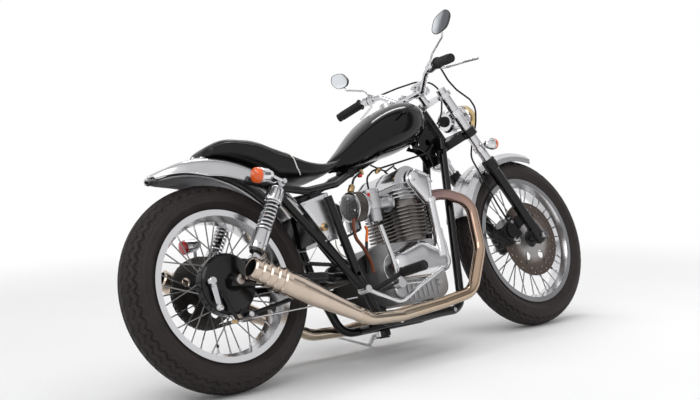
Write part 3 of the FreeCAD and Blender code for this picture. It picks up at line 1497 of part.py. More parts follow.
for name, side in BOTH:
    joint, way = muffler_line(side)
    bend_at = place("muffler_start", side) - way * size.pipe_turn_back
    port = place("port", side)
    points = [port, *[place(point, side) for point in (
        "pipe_out", "pipe_front", "pipe_shin", "pipe_toe", "pipe_under", "pipe_back")], bend_at, joint]
    flange_start = Vector(size.block_start + size.block_depth + size.head_fin_reach + size.engine_gap,
                          port.y, port.z)
    flange = cylinder(flange_start, flange_start + X * size.port_flange_length, size.port_flange, "Flange")
    clamp_at = joint - way * size.pipe_clamp_length
    clamp = cylinder(clamp_at, joint, size.pipe_clamp_diameter, "PipeClamp")
    node("exhaust_pipe_" + name, fuse([
        bent_tube(points, size.pipe_diameter, size.pipe_bend, "Pipe"), flange, clamp], "Exhaust"))
for name, side in BOTH:
    start, way = muffler_line(side)
    radius, mouth, length = size.muffler_diameter / 2, size.muffler_mouth / 2, size.muffler_length
    taper = (radius - mouth) / (length - size.muffler_wide_at)
    step = (length - size.muffler_wide_at) / size.louvre_count
    louvres = []
    for number in range(int(size.louvre_count)):
        at = size.muffler_wide_at + step * number
        louvres += [(at, radius - taper * (step * number)),
                    (at + step - size.louvre_gap, radius - taper * (step * number) + size.louvre_rise)]
    inner = mouth - size.muffler_wall
    node("muffler_" + name, turned(start, way, [
        (size.seat_gap, 0), (size.seat_gap, size.pipe_clamp_diameter / 2),
        *((size.muffler_wide_at * along, radius * rise)
                                                                  for along, rise in MUFFLER_SHARES),
        *louvres, (length, mouth), (length, inner), (length - size.muffler_hollow, inner),
        (length - size.muffler_hollow, 0)], "Muffler"))

# Tank: lofted round sections, with a tunnel for the backbone


def round_section(ahead, level, half_width, half_height):
    points = []
    for number in range(SECTION_POINTS):
        angle = 2 * math.pi * number / SECTION_POINTS
        c, s = math.cos(angle), math.sin(angle)
        points.append(Vector(ahead, half_width * math.copysign(abs(c) ** SECTION_POWER, c),
                             level + half_height * math.copysign(abs(s) ** SECTION_POWER, s)))
    curve = Part.BSplineCurve()
    curve.interpolate(points, PeriodicFlag=True)
    return solid(Part.Wire(curve.toShape()), "Section")


def loft(sections, name):
    item = doc.addObject("Part::Loft", name)
    item.Sections = sections
    item.Solid = True
    return item


tank_back, tank_front = place("tank_back"), fork_place("tank_front")
run = tank_front - tank_back
tank_sections = [(tank_back.x + run.x * along, tank_back.z + run.z * up, size.tank_half_width * wide,
                  size.tank_half_height * high) for along, up, wide, high in TANK_SHARES]
tank = loft([round_section(*section) for section in tank_sections], "TankShell")
spine_way = (spine_front - spine_back).normalize() * size.backbone_diameter
tunnel = cylinder(spine_back - spine_way, spine_front + spine_way, size.backbone_diameter + cope, "Tunnel")
node("fuel_tank", cut(tank, [tunnel], "Tank"))
cap_at = place("cap")
tank_above = loft([round_section(ahead, level + size.seat_gap, wide, high)
                   for ahead, level, wide, high in tank_sections], "TankAbove")
cap = turned(cap_at - Z * size.cap_sink, Z, [
    (0, 0), (0, size.cap_diameter / 2 - size.cap_lip), (size.cap_sink, size.cap_diameter / 2 - size.cap_lip),
    (size.cap_sink, size.cap_diameter / 2),
    (size.cap_sink + size.cap_height - size.cap_lip, size.cap_diameter / 2),
    (size.cap_sink + size.cap_height, size.cap_diameter / 2 - size.cap_lip),
    (size.cap_sink + size.cap_height, 0)],
    "CapForm")
node("fuel_cap", cut(cap, [tank_above], "Cap"))

# Seat: sections from the tail hump to the nose, its pan shaped over the rear fender
pan_radius = size.rear_fender_crown + size.fender_rib_rise + size.fender_gap
seat_back, seat_nose = place("seat_back"), place("seat_nose")
seat_run, seat_drop = seat_nose.x - seat_back.x, seat_back.z - seat_nose.z
seat_sections = []
for along, top, low, wide in SEAT_SHARES:
    high, under = seat_nose.z + seat_drop * top, seat_nose.z + seat_drop * low
    half = size.seat_half_width * wide
    edge = min(half, (high - under) / 2) * SEAT_EDGE_SHARE
    ahead = seat_back.x + seat_run * along
    corners = [(-half, under + edge), (-half, high - edge), (-half + edge, high), (half - edge, high),
               (half, high - edge), (half, under + edge), (half - edge, under), (-half + edge, under)]
    points = [Vector(ahead, across, up) for across, up in corners]
    seat_sections.append(solid(Part.makePolygon(points + points[:1]), "SeatSection"))
seat = loft(seat_sections, "SeatForm")
pan = cylinder(rear_axle - Y * size.seat_half_width * 2, rear_axle + Y * size.seat_half_width * 2,
               pan_radius * 2, "Pan")
node("seat", cut(seat, [pan], "Seat"))

# Fenders: a channel turned about the axle


def fender(centre, crown, half, skirt, start, end, name):
    wall, shoulder = size.fender_wall, size.fender_shoulder
    outline = [(-half, crown - skirt), (-half, crown - shoulder), (-half + shoulder, crown),
               (half - shoulder, crown), (half, crown - shoulder), (half, crown - skirt),
               (half - wall, crown - skirt), (half - wall, crown - shoulder), (half - shoulder, crown - wall),
               (-half + shoulder, crown - wall), (-half + wall, crown - shoulder),
               (-half + wall, crown - skirt)]
    rib, rise = size.fender_rib, size.fender_rib_rise
    ridge = [(-rib, crown - wall / 2), (-rib / 2, crown + rise), (rib / 2, crown + rise),
             (rib, crown - wall / 2)]
    forms = []
    for points in (outline, ridge):
        face = Part.Face(Part.makePolygon([centre + Vector(r, along, 0) for along, r in points + points[:1]]))
        face.rotate(centre, Y, -start)
        forms.append(solid(face.revolve(centre, Y, start - end), name))
    return fuse(forms, name)


tail_centre = rear_axle + Vector(-size.tail_cut_back, 0, size.tail_cut_up)
tail = cylinder(tail_centre - Y * size.rear_fender_crown, tail_centre + Y * size.rear_fender_crown,
                size.tail_cut_radius * 2, "TailCut")
corners = []
for side in (LEFT, RIGHT):
    half, crown = size.rear_fender_half, size.rear_fender_crown
    points = [Vector(-crown * along, side * half * wide, rear_axle.z) for along, wide in TAIL_SHARES]
    corners.append(solid(Part.Face(Part.makePolygon(points + points[:1])).extrude(Z * crown * 2),
                         "TailCorner"))
node("rear_fender", cut(fender(rear_axle, size.rear_fender_crown, size.rear_fender_half,
                               size.rear_fender_skirt,
                               size.rear_fender_start_angle, size.rear_fender_end_angle, "RearFender"),
                        [tail, *corners], "RearFenderCut"))
feet = [cylinder(on_fork(leg, side * (size.front_fender_half - size.fender_wall / 2), size.fender_foot_level),
                 on_fork(leg, side * (slider_y - size.slider_collar / 2 - size.seat_gap),
                         size.fender_foot_level),
                 size.fender_foot, "FenderFoot") for side in (LEFT, RIGHT)]
node("front_fender", fuse([fender(front_axle, size.front_fender_crown, size.front_fender_half,
                                  size.front_fender_skirt, size.front_fender_start_angle,
                                  size.front_fender_end_angle, "FrontFender"), *feet], "FrontFenderFeet"))

# Shocks: covers at the ends and a coil drawn as rings
shocks = []
for side in (LEFT, RIGHT):
    top, low = place("shock_top", side), place("shock_low", side)
    top.y = low.y = side * size.shock_line
    way, length = (top - low).normalize(), (top - low).Length
    low_r, top_r, coil_r = size.shock_low_cover / 2, size.shock_top_cover / 2, size.coil_diameter / 2
    tube_r, coil_low = size.shock_tube / 2, size.shock_end_gap + size.shock_low_length
    coil_top = length - size.shock_top_gap - size.shock_top_length
    pitch = (coil_top - coil_low) / size.coil_count
    coils = []
    for number in range(int(size.coil_count)):
        at = coil_low + pitch * number
        coils += [(at, coil_r - size.coil_depth), (at + pitch * COIL_SHARES[0], coil_r),
                  (at + pitch * COIL_SHARES[1], coil_r)]
    damper = turned(low, way, [
        (0, 0), (0, tube_r), (size.shock_end_gap, tube_r), (size.shock_end_gap, low_r), (coil_low, low_r),
        *coils,
        (coil_top, coil_r - size.coil_depth), (coil_top, top_r), (length - size.shock_top_gap, top_r),
        (length - size.shock_top_gap, tube_r), (length, tube_r), (length, 0)], "Damper")
    eyes, bores = [], []
    for centre, bolt in ((low, size.shock_bolt), (top, size.seat_bolt)):
        half = Y * size.shock_eye_width / 2
        eyes.append(cylinder(centre - half, centre + half, size.shock_eye, "Eye"))
        bores.append(cylinder(centre - half * 2, centre + half * 2, bolt + size.running_gap * 2, "EyeBore"))
    shocks.append(cut(fuse([damper, *eyes], "Shock"), bores, "ShockBored"))
node("rear_shocks", fuse(shocks, "Shocks"))

# Headlamp: a bucket on a bar between two rings on the fork
lamp_front, lamp_back = fork_place("lamp_front"), fork_place("lamp_back")
lamp_way, lamp_length = (lamp_front - lamp_back).normalize(), (lamp_front - lamp_back).Length
lamp_r, neck_r = size.lamp_diameter / 2, size.lamp_neck / 2
rim_back = lamp_length - size.lamp_rim_length
lamp_outline = [(0, 0)] + [(rim_back * along, neck_r + (lamp_r - size.lamp_rim_step - neck_r) * wide)
                           for along, wide in LAMP_SHARES]
lamp_outline += [(rim_back, lamp_r), (lamp_length - size.lamp_rim_step, lamp_r),
                 (lamp_length, lamp_r - size.lamp_rim_step), (lamp_length, lamp_r - size.lamp_rim_step * 2),
                 (lamp_length - size.lamp_rim_step, lamp_r - size.lamp_rim_step * 2),
                 (lamp_length - size.lamp_rim_step, 0)]
lamp_parts = [turned(lamp_back, lamp_way, lamp_outline, "Bucket"),
              cylinder(fork_place("lamp_bar", RIGHT), fork_place("lamp_bar", LEFT), size.lamp_bar, "LampBar")]
for side in (LEFT, RIGHT):
    ear_at = size.ear_level + size.ear_height / 2
    lamp_parts += [leg_ring(size.ear_level, size.ear_height, size.ear_diameter, side,
                            size.stanchion_diameter + cope),
                   cylinder(on_fork(leg + size.ear_diameter / 2 - size.ear_wall, side * slider_y, ear_at),
                            fork_place("lamp_bar", side), size.lamp_bar, "EarArm")]
node("headlamp", fuse(lamp_parts, "Headlamp"))


def signal(back, way, length, diameter, name):
    # A bullet lamp: rounded body and a lens at the wide end.
    radius = diameter / 2
    points = [(0, 0)] + [(length * along, radius * wide) for along, wide in BULLET_SHARES]
    return turned(back, way, points + [(length, 0)], name)


front_signals = []
for side in (LEFT, RIGHT):
    across, level = side * slider_y, size.signal_level
    bulb_at = on_fork(leg, side * size.signal_out, level + size.signal_ring_height / 2)
    front_signals.append(fuse([
        leg_ring(level, size.signal_ring_height, size.signal_ring_diameter, side,
                 size.stanchion_diameter + cope),
        cylinder(on_fork(leg, across + side * (size.stanchion_diameter / 2 + size.signal_stalk_gap),
                         level + size.signal_ring_height / 2), bulb_at, size.signal_stalk, "Stalk"),
        signal(bulb_at - X * size.signal_back, X, size.signal_back + size.signal_front, size.signal_diameter,
               "Bullet")], "FrontSignal"))
node("front_indicators", fuse(front_signals, "FrontSignals"))

# Speedometer in a cup over the top yoke
gauge_foot = on_fork(size.gauge_foot_ahead, 0, yoke_top + size.seat_gap)
foot_top = on_fork(size.gauge_foot_ahead, 0, yoke_top + size.gauge_foot_height)
gauge_low = on_fork(size.gauge_ahead, 0, yoke_top + size.gauge_lift)
gauge_r = size.gauge_diameter / 2
node("speedometer", fuse([
    cylinder(gauge_foot, foot_top, size.gauge_foot_diameter, "GaugeFoot"),
    cylinder(foot_top - fork_up * size.gauge_foot_height / 2, gauge_low + fork_up * size.gauge_foot_height,
             size.gauge_arm_diameter, "GaugeArm"),
    turned(gauge_low, fork_up, [
        (0, 0), (0, gauge_r - size.gauge_rim * 2), (size.gauge_rim * 2, gauge_r - size.gauge_rim),
        (size.gauge_height - size.gauge_rim * 2, gauge_r - size.gauge_rim),
        (size.gauge_height - size.gauge_rim * 2, gauge_r), (size.gauge_height, gauge_r),
        (size.gauge_height, gauge_r - size.gauge_rim),
        (size.gauge_height - size.gauge_rim, gauge_r - size.gauge_rim),
        (size.gauge_height - size.gauge_rim, 0)], "Cup")], "Gauge"))

# Brake caliper over the disc's edge
low = [getattr(size, "caliper_low_" + way) for way in WAYS]
high = [getattr(size, "caliper_high_" + way) for way in WAYS]
corner = on_fork(low[0], -low[1], low[2])
jaws = box((low[0], -low[1], low[2]), (high[0], -high[1], high[2]), fork_turn, corner)
piston = fork_place("caliper_piston", RIGHT)
piston_cap = turned(piston + Y * size.overrun, -Y, [
    (0, 0), (0, size.piston_diameter / 2),
    (size.overrun + size.piston_rise - size.lid_edge, size.piston_diameter / 2),
    (size.overrun + size.piston_rise, size.piston_diameter / 2 - size.lid_edge),
    (size.overrun + size.piston_rise, 0)], "Piston")
slot_half = disc_thick / 2 + size.disc_gap
slot = cylinder(front_axle - Y * (disc_y + slot_half), front_axle - Y * (disc_y - slot_half),
                size.disc_diameter + size.disc_gap * 2, "DiscSlot")
node("brake_caliper", cut(fuse([jaws, piston_cap], "Caliper"), [slot], "CaliperOpened"))

# Foot pegs and pedals
pegs = []
for side in (LEFT, RIGHT):
    bracket = bent_tube([place(name, side) for name in ("peg_root", "peg_elbow", "peg_hinge")],
                        size.peg_arm, size.peg_bend, "PegArm")
    bracket = cut(bracket, [cradle_tube(side, size.down_tube_diameter + cope)], "PegBracket")
    hinge, end = place("peg_hinge", side), place("peg_end", side)
    way, length = (end - hinge).normalize(), (end - hinge).Length
    radius, rim = size.peg_diameter / 2, size.peg_rim
    rubber = turned(hinge - way * size.peg_rim, way, [
        (0, 0), (0, radius - rim), (rim * 2, radius - rim), (rim * 2, radius), (rim * 4, radius),
        (rim * 4, radius - rim / 2), (length - rim, radius - rim / 2), (length - rim, radius),
        (length, radius),
        (length + rim, radius - rim), (length + rim, 0)], "PegRubber")
    pegs.append(fuse([bracket, rubber], "Peg"))
node("footpegs", fuse(pegs, "Footpegs"))


def pad_pin(name, side, inner, outer, diameter):
    # A short bar across a lever's toe.
    point = place(name, side)
    return cylinder(Vector(point.x, side * inner, point.z), Vector(point.x, side * outer, point.z),
                    diameter, "Pad")


pedal_pivot = place("pedal_pivot", RIGHT)
pedal_line = [place(name, RIGHT) for name in ("pedal_root", "pedal_drop", "pedal_low", "pedal_rise",
                                              "pedal_toe")]
pedal_end = pedal_line[0] - Y * size.pedal_boss_end
node("brake_pedal", fuse([
    bent_tube(pedal_line, size.pedal_rod, size.pedal_bend, "PedalRod"),
    cylinder(pedal_pivot, pedal_end, size.pedal_boss, "PedalBoss"),
    pad_pin("pedal_toe", RIGHT, size.pedal_toe_out - size.pedal_pad_half,
            size.pedal_toe_out + size.pedal_pad_half,
            size.pedal_pad)], "Pedal"))
kick_in, kick_out = place("kick_shaft", RIGHT), place("kick_boss", RIGHT)
kick_line = [place(name, RIGHT) for name in ("kick_root", "kick_knee", "kick_top")]
node("kick_lever", fuse([
    cylinder(kick_in, kick_out - Y * size.kick_boss / 2, size.kick_shaft, "KickShaft"),
    cylinder(kick_out, kick_out - Y * size.kick_boss_length, size.kick_boss, "KickBoss"),
    bent_tube(kick_line, size.kick_arm, size.kick_bend, "KickArm")], "Kick"))
shift_in, shift_boss = place("shift_shaft"), place("shift_boss")
node("shift_lever", fuse([
    cylinder(shift_in, shift_boss + Y * size.shift_shaft / 2, size.shift_shaft, "ShiftShaft"),
    bent_tube([shift_boss, place("shift_bend"), place("shift_toe")], size.shift_arm, size.kick_bend,
              "ShiftArm"),
    pad_pin("shift_toe", LEFT, size.shift_toe_out - size.shift_arm / 2,
            size.shift_toe_out + size.shift_pad_length, size.pedal_pad)], "Shift"))

# Tail lamp on a bent stem from the left swingarm, and the rear indicators
lamp_rear, lamp_ahead = place("tail_lamp_back"), place("tail_lamp_front")
tail_way = (lamp_ahead - lamp_rear).normalize()
stem_low = place("tail_stem_low")
arm_top = Vector(stem_low.x, stem_low.y, rear_axle.z + size.arm_top_rise)
node("tail_lamp", fuse([
    signal(lamp_ahead, -tail_way, (lamp_ahead - lamp_rear).Length, size.tail_lamp_diameter, "TailBullet"),
    bent_tube([place("tail_stem_top"), place("tail_stem_bend"), stem_low, arm_top], size.lamp_stem,
              size.lamp_stem_bend, "LampStem")], "TailLamp"))
rear_signals = []
for side in (LEFT, RIGHT):
    back, front = place("rear_signal_back", side), place("rear_signal_front", side)
    way = (back - front).normalize()
    top = place("shock_top", side)
    out = size.shock_bolt_end + size.seat_gap
    rear_signals.append(fuse([
        signal(front, way, (back - front).Length, size.rear_signal_diameter, "RearBullet"),
        cylinder(place("rear_signal_arm", side), place("rear_signal_foot", side), size.signal_arm,
                 "SignalArm"),
        cylinder(Vector(top.x, side * out, top.z), Vector(top.x, side * size.signal_nut_end, top.z),
                 size.signal_nut, "SignalNut")], "RearSignal"))
node("rear_indicators", fuse(rear_signals, "RearSignals"))

# Side plates over the battery box
plates = []
for side in (LEFT, RIGHT):
    names = ("plate_top_back", "plate_top_front", "plate_low_front", "plate_low_back")
    points = [place(name) for name in names]
    middle = (points[0] + points[1] + points[2] + points[3]) / len(points)
    raised = [middle + (point - middle) * PLATE_SHARE for point in points]
    near = size.plate_top_back_out * side
    wall, rise = size.plate_wall, size.plate_rib
    outer = near if side == LEFT else near + wall
    lip = near + rise if side == LEFT else near + wall
    plates.append(fuse([
        side_plate([(point.x, point.z) for point in points], outer, wall, "SidePlate"),
        side_plate([(point.x, point.z) for point in raised], lip, wall + rise, "PlateRise")], "PlateForm"))
node("side_plates", fuse(plates, "SidePlates"))
low, high = place("battery_low"), place("battery_high")
half = size.battery_half
recess = size.battery_recess_ahead
case_box = box((low.x, -half, low.z), (high.x, half, high.z))
tyre_room = box((low.x - size.overrun, -size.battery_recess_out, low.z - size.overrun),
                (rear_axle.x + recess, size.battery_recess_out, high.z + size.overrun))
node("battery_box", cut(case_box, [tyre_room], "Battery"))

# Rear brake: a plate in the drum's mouth, its arm, and the torque bar to the swingarm
plate_y = drum_mouth + size.backplate_gap
brake_plate = turned(rear_axle, -Y, [
    (plate_y, axle_bore), (plate_y, drum - size.backplate_lip),
    (plate_y + size.drum_wall, drum - size.drum_wall),
    (plate_y + size.backplate_rise, size.rear_hub_diameter / 2 + size.running_gap),
    (arm_y - size.swingarm_tube / 2 - size.backplate_end, size.backplate_nose),
    (arm_y - size.swingarm_tube / 2 - size.backplate_end, axle_bore)], "BackPlate")
cam_at, cam_bend, cam_end = (place(name, RIGHT) for name in ("brake_cam", "brake_arm_bend", "brake_arm_end"))
torque_back, torque_front = place("torque_back", RIGHT), place("torque_front", RIGHT)
brake_parts = [
    cylinder(cam_at, Vector(cam_at.x, cam_bend.y, cam_at.z), size.brake_boss, "CamBoss"),
    bent_tube([Vector(cam_at.x, cam_bend.y + size.brake_arm / 2, cam_at.z), cam_bend, cam_end],
              size.brake_arm, size.brake_arm * 2, "CamArm"),
    cylinder(Vector(torque_back.x, -plate_y, torque_back.z), torque_back - Y * size.torque_bar / 2,
             size.torque_boss, "TorqueBoss"),
    cylinder(torque_back, torque_front, size.torque_bar, "TorqueBar"),
    cylinder(torque_front + Y * size.torque_bar / 2,
             Vector(torque_front.x, torque_lug.y + size.seat_gap, torque_front.z), size.torque_boss,
             "TorqueEnd"),
    side_plate([(place(name).x, place(name).z) for name in ("anchor_a", "anchor_b", "anchor_c", "anchor_d")],
               -plate_y, size.drum_wall, "Anchor")]
node("rear_brake_plate", fuse([brake_plate, *brake_parts], "BrakePlate"))

# Side stand: a bent bar that turns on the leaning pin
foot_rise = size.stand_bar / 2 / math.cos(lean)
corner, foot = (Vector(place(name).x, place(name).y, ground(place(name).y) + foot_rise)
                for name in ("stand_corner", "stand_foot"))
hub_half = stand_axis * size.stand_hub_half
stand = fuse([
    bent_tube([stand_pivot, stand_pivot + stand_axis.cross(X) * size.stand_neck, corner, foot],
              size.stand_bar,
              size.stand_bend, "StandBar"),
    cylinder(stand_pivot - hub_half, stand_pivot + hub_half, size.stand_hub, "StandHub")], "Stand")
node("side_stand", cut(stand, [cylinder(
    stand_pivot - hub_half * 2, stand_pivot + hub_half * 2, size.stand_pin + size.running_gap * 2)],
    "StandBored"))

# Cables: their points are chosen by hand along their real runs
steered = [bent_tube([on_fork(*point) for point in points], size.cable_diameter, size.cable_bend, "Cable")
           for points in STEERED_CABLES]
node("control_cables", fuse(steered, "SteeredCables"))
held = [bent_tube([rear_axle + Vector(*point) for point in points], size.cable_diameter, size.cable_bend,
                  "Cable")
        for points in FRAME_CABLES]
node("throttle_cable", fuse(held, "HeldCables"))

# Parked: leaned to the left about the line below the middle, then centred over its origin
doc.recompute()
for item in doc.Objects:
    if "Invalid" in item.State or "Error" in item.State:
        raise RuntimeError(f"{item.Name} failed: {item.State}")
leaned = Placement(Vector(), Rotation(X, -size.lean_angle))
whole = Part.makeCompound([item.Shape.transformed(leaned.toMatrix(), True) for item in NODES])
limits = whole.optimalBoundingBox(False)
shift = Vector(-(limits.XMin + limits.XMax) / 2, -(limits.YMin + limits.YMax) / 2, -limits.ZMin)
parked = Placement(shift, Rotation()).multiply(leaned)
for item in NODES:
    item.Placement = parked.multiply(item.Placement)
doc.recompute()
os.makedirs("parts", exist_ok=True)
for item in NODES:
    if item.Shape.isNull() or not item.Shape.isValid():
        raise RuntimeError(f"{item.Label} has no valid shape")
    item.Shape.exportStep(os.path.join("parts", item.Label + ".step"))
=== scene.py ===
import json
import math

import bpy
from mathutils import Matrix, Vector


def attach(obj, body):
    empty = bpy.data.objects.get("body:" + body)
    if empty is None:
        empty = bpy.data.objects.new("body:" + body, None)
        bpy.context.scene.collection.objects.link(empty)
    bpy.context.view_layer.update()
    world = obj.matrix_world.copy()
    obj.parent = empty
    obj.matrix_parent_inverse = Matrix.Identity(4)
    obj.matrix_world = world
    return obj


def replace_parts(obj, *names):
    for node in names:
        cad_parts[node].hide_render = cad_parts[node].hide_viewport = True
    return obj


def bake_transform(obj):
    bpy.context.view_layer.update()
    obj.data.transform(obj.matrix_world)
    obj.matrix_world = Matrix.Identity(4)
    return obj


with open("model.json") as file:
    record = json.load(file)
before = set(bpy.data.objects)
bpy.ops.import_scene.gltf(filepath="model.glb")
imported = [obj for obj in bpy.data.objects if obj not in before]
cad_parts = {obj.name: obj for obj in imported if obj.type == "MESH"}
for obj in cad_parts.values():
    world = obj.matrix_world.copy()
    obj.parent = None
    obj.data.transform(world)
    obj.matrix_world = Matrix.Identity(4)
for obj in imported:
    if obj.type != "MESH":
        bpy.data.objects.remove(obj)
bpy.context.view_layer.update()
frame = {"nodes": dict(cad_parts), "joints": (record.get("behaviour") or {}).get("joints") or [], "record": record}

# The machine is drawn upright from its rear axle and leans with its wheels. The frame's joints
# give that place and that lean, so every piece here is placed in the upright machine's metres.
JOINTS = {joint["name"]: joint for joint in frame["joints"]}
REAR_AXLE = Vector(JOINTS["rear_wheel_spin"]["pos_m"])
FRONT_AXLE = Vector(JOINTS["front_wheel_spin"]["pos_m"])
AHEAD = Vector((1, 0, 0))
LEFT = Vector(JOINTS["rear_wheel_spin"]["axis"]).normalized()
UP = AHEAD.cross(LEFT)
REAR_TYRE_RADIUS = 0.3325


def at(x, y, z):
    """A point of the upright machine: ahead of the rear axle, to the left, above the tyre's foot."""
    return REAR_AXLE + AHEAD * x + LEFT * y + UP * (z - REAR_TYRE_RADIUS)


# Camera: the photograph's place, turn and lens
CAMERA_FROM_AXLE = Vector((-1.728, -2.708, 0.823 - REAR_AXLE.z))
CAMERA_YAW, CAMERA_PITCH, CAMERA_ROLL = (math.radians(angle) for angle in (40.14, -4.243, -1.619))
PHOTO_WIDTH = 700
LENS_PIXELS = 1021
SENSOR_WIDTH = 36


def make_camera():
    """A camera that sees the machine as the photograph does."""
    forward = Vector((math.cos(CAMERA_PITCH) * math.sin(CAMERA_YAW),
                      math.cos(CAMERA_PITCH) * math.cos(CAMERA_YAW), math.sin(CAMERA_PITCH)))
    level_right = Vector((math.cos(CAMERA_YAW), -math.sin(CAMERA_YAW), 0))
    level_up = level_right.cross(forward)
    right = level_right * math.cos(CAMERA_ROLL) + level_up * math.sin(CAMERA_ROLL)
    up = level_up * math.cos(CAMERA_ROLL) - level_right * math.sin(CAMERA_ROLL)
    data = bpy.data.cameras.new("camera")
    data.sensor_width = SENSOR_WIDTH
    data.lens = LENS_PIXELS / PHOTO_WIDTH * SENSOR_WIDTH
    camera = bpy.data.objects.new("camera", data)
    camera.matrix_world = Matrix((right, up, -forward)).transposed().to_4x4()
    camera.location = REAR_AXLE + CAMERA_FROM_AXLE
    bpy.context.scene.collection.objects.link(camera)
    bpy.context.scene.camera = camera


make_camera()


# Materials
BUMP_DEPTH = 0.0005
COAT_ROUGHNESS = 0.03
LEAST_ROUGHNESS = 0.02


class Tree:
    """The nodes of a material or a world, with one short way to add and join them."""

    def __init__(self, owner):
        owner.use_nodes = True
        self.owner, self.nodes, self.links = owner, owner.node_tree.nodes, owner.node_tree.links

    def join(self, node, inputs):
        """Each input takes a value or another node's output."""
        for name, value in inputs.items():
            if isinstance(value, bpy.types.NodeSocket):
                self.links.new(value, node.inputs[name])
            else:
                node.inputs[name].default_value = value

    def add(self, kind, inputs, output=0, **settings):
        """A new node's output."""
        node = self.nodes.new("ShaderNode" + kind)
        for name, value in settings.items():
            setattr(node, name, value)
        self.join(node, inputs)
        return node.outputs[output]

    def noise(self, scale, detail=4, stretch=(1, 1, 1)):
        """Noise in the object's own metres, stretched along an axis for grain."""
        place = self.add("TexCoord", {}, "Object")
        mapped = self.add("Mapping", {"Vector": place, "Scale": stretch})
        return self.add("TexNoise", {"Vector": mapped, "Scale": scale, "Detail": detail}, "Fac")

    def ramp(self, source, stops):
        """A colour ramp fed by a value: stops of (position, colour)."""
        node = self.nodes.new("ShaderNodeValToRGB")
        elements = node.color_ramp.elements
        for position, colour in stops[2:]:
            elements.new(position)
        for element, (position, colour) in zip(elements, sorted(stops)):
            element.position = position
            element.color = (*colour, 1)
        self.links.new(source, node.inputs["Fac"])
        return node.outputs["Color"]

    def roughen(self, shader, source, low, high):
        """Roughness that runs with a value."""
        spread = {"Value": source, "To Min": max(LEAST_ROUGHNESS, low), "To Max": high}
        self.join(shader, {"Roughness": self.add("MapRange", spread)})

    def bump(self, shader, strength, scale, stretch=(1, 1, 1)):
        """A fine uneven skin, where a strength asks for one."""
        if strength:
            relief = {"Height": self.noise(scale, 6, stretch), "Strength": strength, "Distance": BUMP_DEPTH}
            self.join(shader, {"Normal": self.add("Bump", relief)})


def new_material(name):
    """A new material's tree and its shader."""
    tree = Tree(bpy.data.materials.new(name))
    return tree, tree.nodes["Principled BSDF"]


def surface(name, colour, metallic=0.0, roughness=0.5, spread=0.08, grain=60, bump=0.0, bump_scale=400,
            coat=0.0, stretch=(1, 1, 1), tint=0.12, gloss=0.25):
    """A finish whose colour and roughness vary by noise, with a fine bump."""
    tree, shader = new_material(name)
    patch = tree.noise(grain, stretch=stretch)
    shades = [(0.3, [channel * (1 - tint) for channel in colour]),
              (0.7, [min(1, channel * (1 + tint)) for channel in colour])]
    tree.join(shader, {"Base Color": tree.ramp(patch, shades), "Metallic": metallic, "Coat Weight": coat,
                       "Coat Roughness": COAT_ROUGHNESS, "Specular IOR Level": 0.5 if metallic else gloss})
    tree.roughen(shader, patch, roughness - spread, roughness + spread)
    tree.bump(shader, bump, bump_scale, stretch)
    return tree.owner


def zoned(name, near, far, point, reach, metallic, roughness, grain=60, bump=0.0, noise_share=0.25):
    """A metal whose colour runs from near to far with the distance from a point of the machine."""
    tree, shader = new_material(name)
    place = tree.add("TexCoord", {}, "Object")
    away = tree.add("VectorMath", {0: place, 1: point}, "Value", operation="DISTANCE")
    share = tree.add("MapRange", {"Value": away, "From Min": reach[0], "From Max": reach[1]})
    patch = tree.noise(grain, 5)
    mixed = tree.add("Math", {0: patch, 1: noise_share, 2: share}, operation="MULTIPLY_ADD")
    shifted = tree.add("Math", {0: mixed, 1: noise_share / 2}, operation="SUBTRACT")
    colours = [*near, *far]
    stops = [(index / (len(colours) - 1), colour) for index, colour in enumerate(colours)]
    tree.join(shader, {"Base Color": tree.ramp(shifted, stops), "Metallic": metallic})
    tree.roughen(shader, patch, roughness - 0.04, roughness + 0.05)
    tree.bump(shader, bump, 900)
    return tree.owner


def clear_surface(name, colour, roughness, through):
    """Tinted plastic or glass that lets part of the light through."""
    tree, shader = new_material(name)
    shades = [(0.3, [channel * 0.85 for channel in colour]), (0.7, colour)]
    tree.join(shader, {"Base Color": tree.ramp(tree.noise(90), shades), "Transmission Weight": through,
                       "IOR": 1.49, "Roughness": roughness, "Coat Weight": 0.5})
    return tree.owner


# Each finish by its name, and the record's slot that a piece of that finish belongs to
FINISHES, SLOT_FOR = {}, {}


def finish(name, *values, slot=None, clear=False, **options):
    """Keeps a new finish; its slot has the finish's own name, where no other is given."""
    FINISHES[name] = (clear_surface if clear else surface)(name, *values, **options)
    SLOT_FOR[name] = slot or name


finish("tyre_rubber", (0.019, 0.014, 0.0135), roughness=0.62, bump=0.4, tint=0.3, grain=24, gloss=0.3)
finish("polished_alloy", (0.70, 0.70, 0.71), 1, 0.17, 0.03, bump=0.04, tint=0.04, grain=25)
finish("engine_alloy", (0.50, 0.50, 0.51), 1, 0.34, 0.05, bump=0.35, bump_scale=900, tint=0.1, grain=25)
finish("chrome", (0.64, 0.64, 0.655), 1, 0.06, 0.02, tint=0.03)
finish("black_paint", (0.004, 0.004, 0.0045), 0, 0.20, 0.04, gloss=0.35)
finish("gloss_black", (0.002, 0.002, 0.0024), 0, 0.06, 0.02, coat=0.35, gloss=0.1)
finish("fender_steel", (0.68, 0.68, 0.69), 1, 0.25, 0.04, grain=14, bump=0.03, bump_scale=300,
       stretch=(1, 5, 1), tint=0.04)
finish("exhaust_steel", (0.60, 0.50, 0.41), 1, 0.16, 0.03, tint=0.06, grain=20)
finish("seat_leather", (0.005, 0.005, 0.0055), 0, 0.30, 0.06, bump=0.3, bump_scale=1400, gloss=0.3)
finish("grip_rubber", (0.012, 0.012, 0.012), 0, 0.6, bump=0.4)
finish("disc_steel", (0.36, 0.29, 0.24), 1, 0.34, grain=70, tint=0.3)
finish("chain_steel", (0.10, 0.095, 0.09), 1, 0.4)
finish("indicator", (0.72, 0.72, 0.735), 1, 0.09, 0.02, tint=0.03)
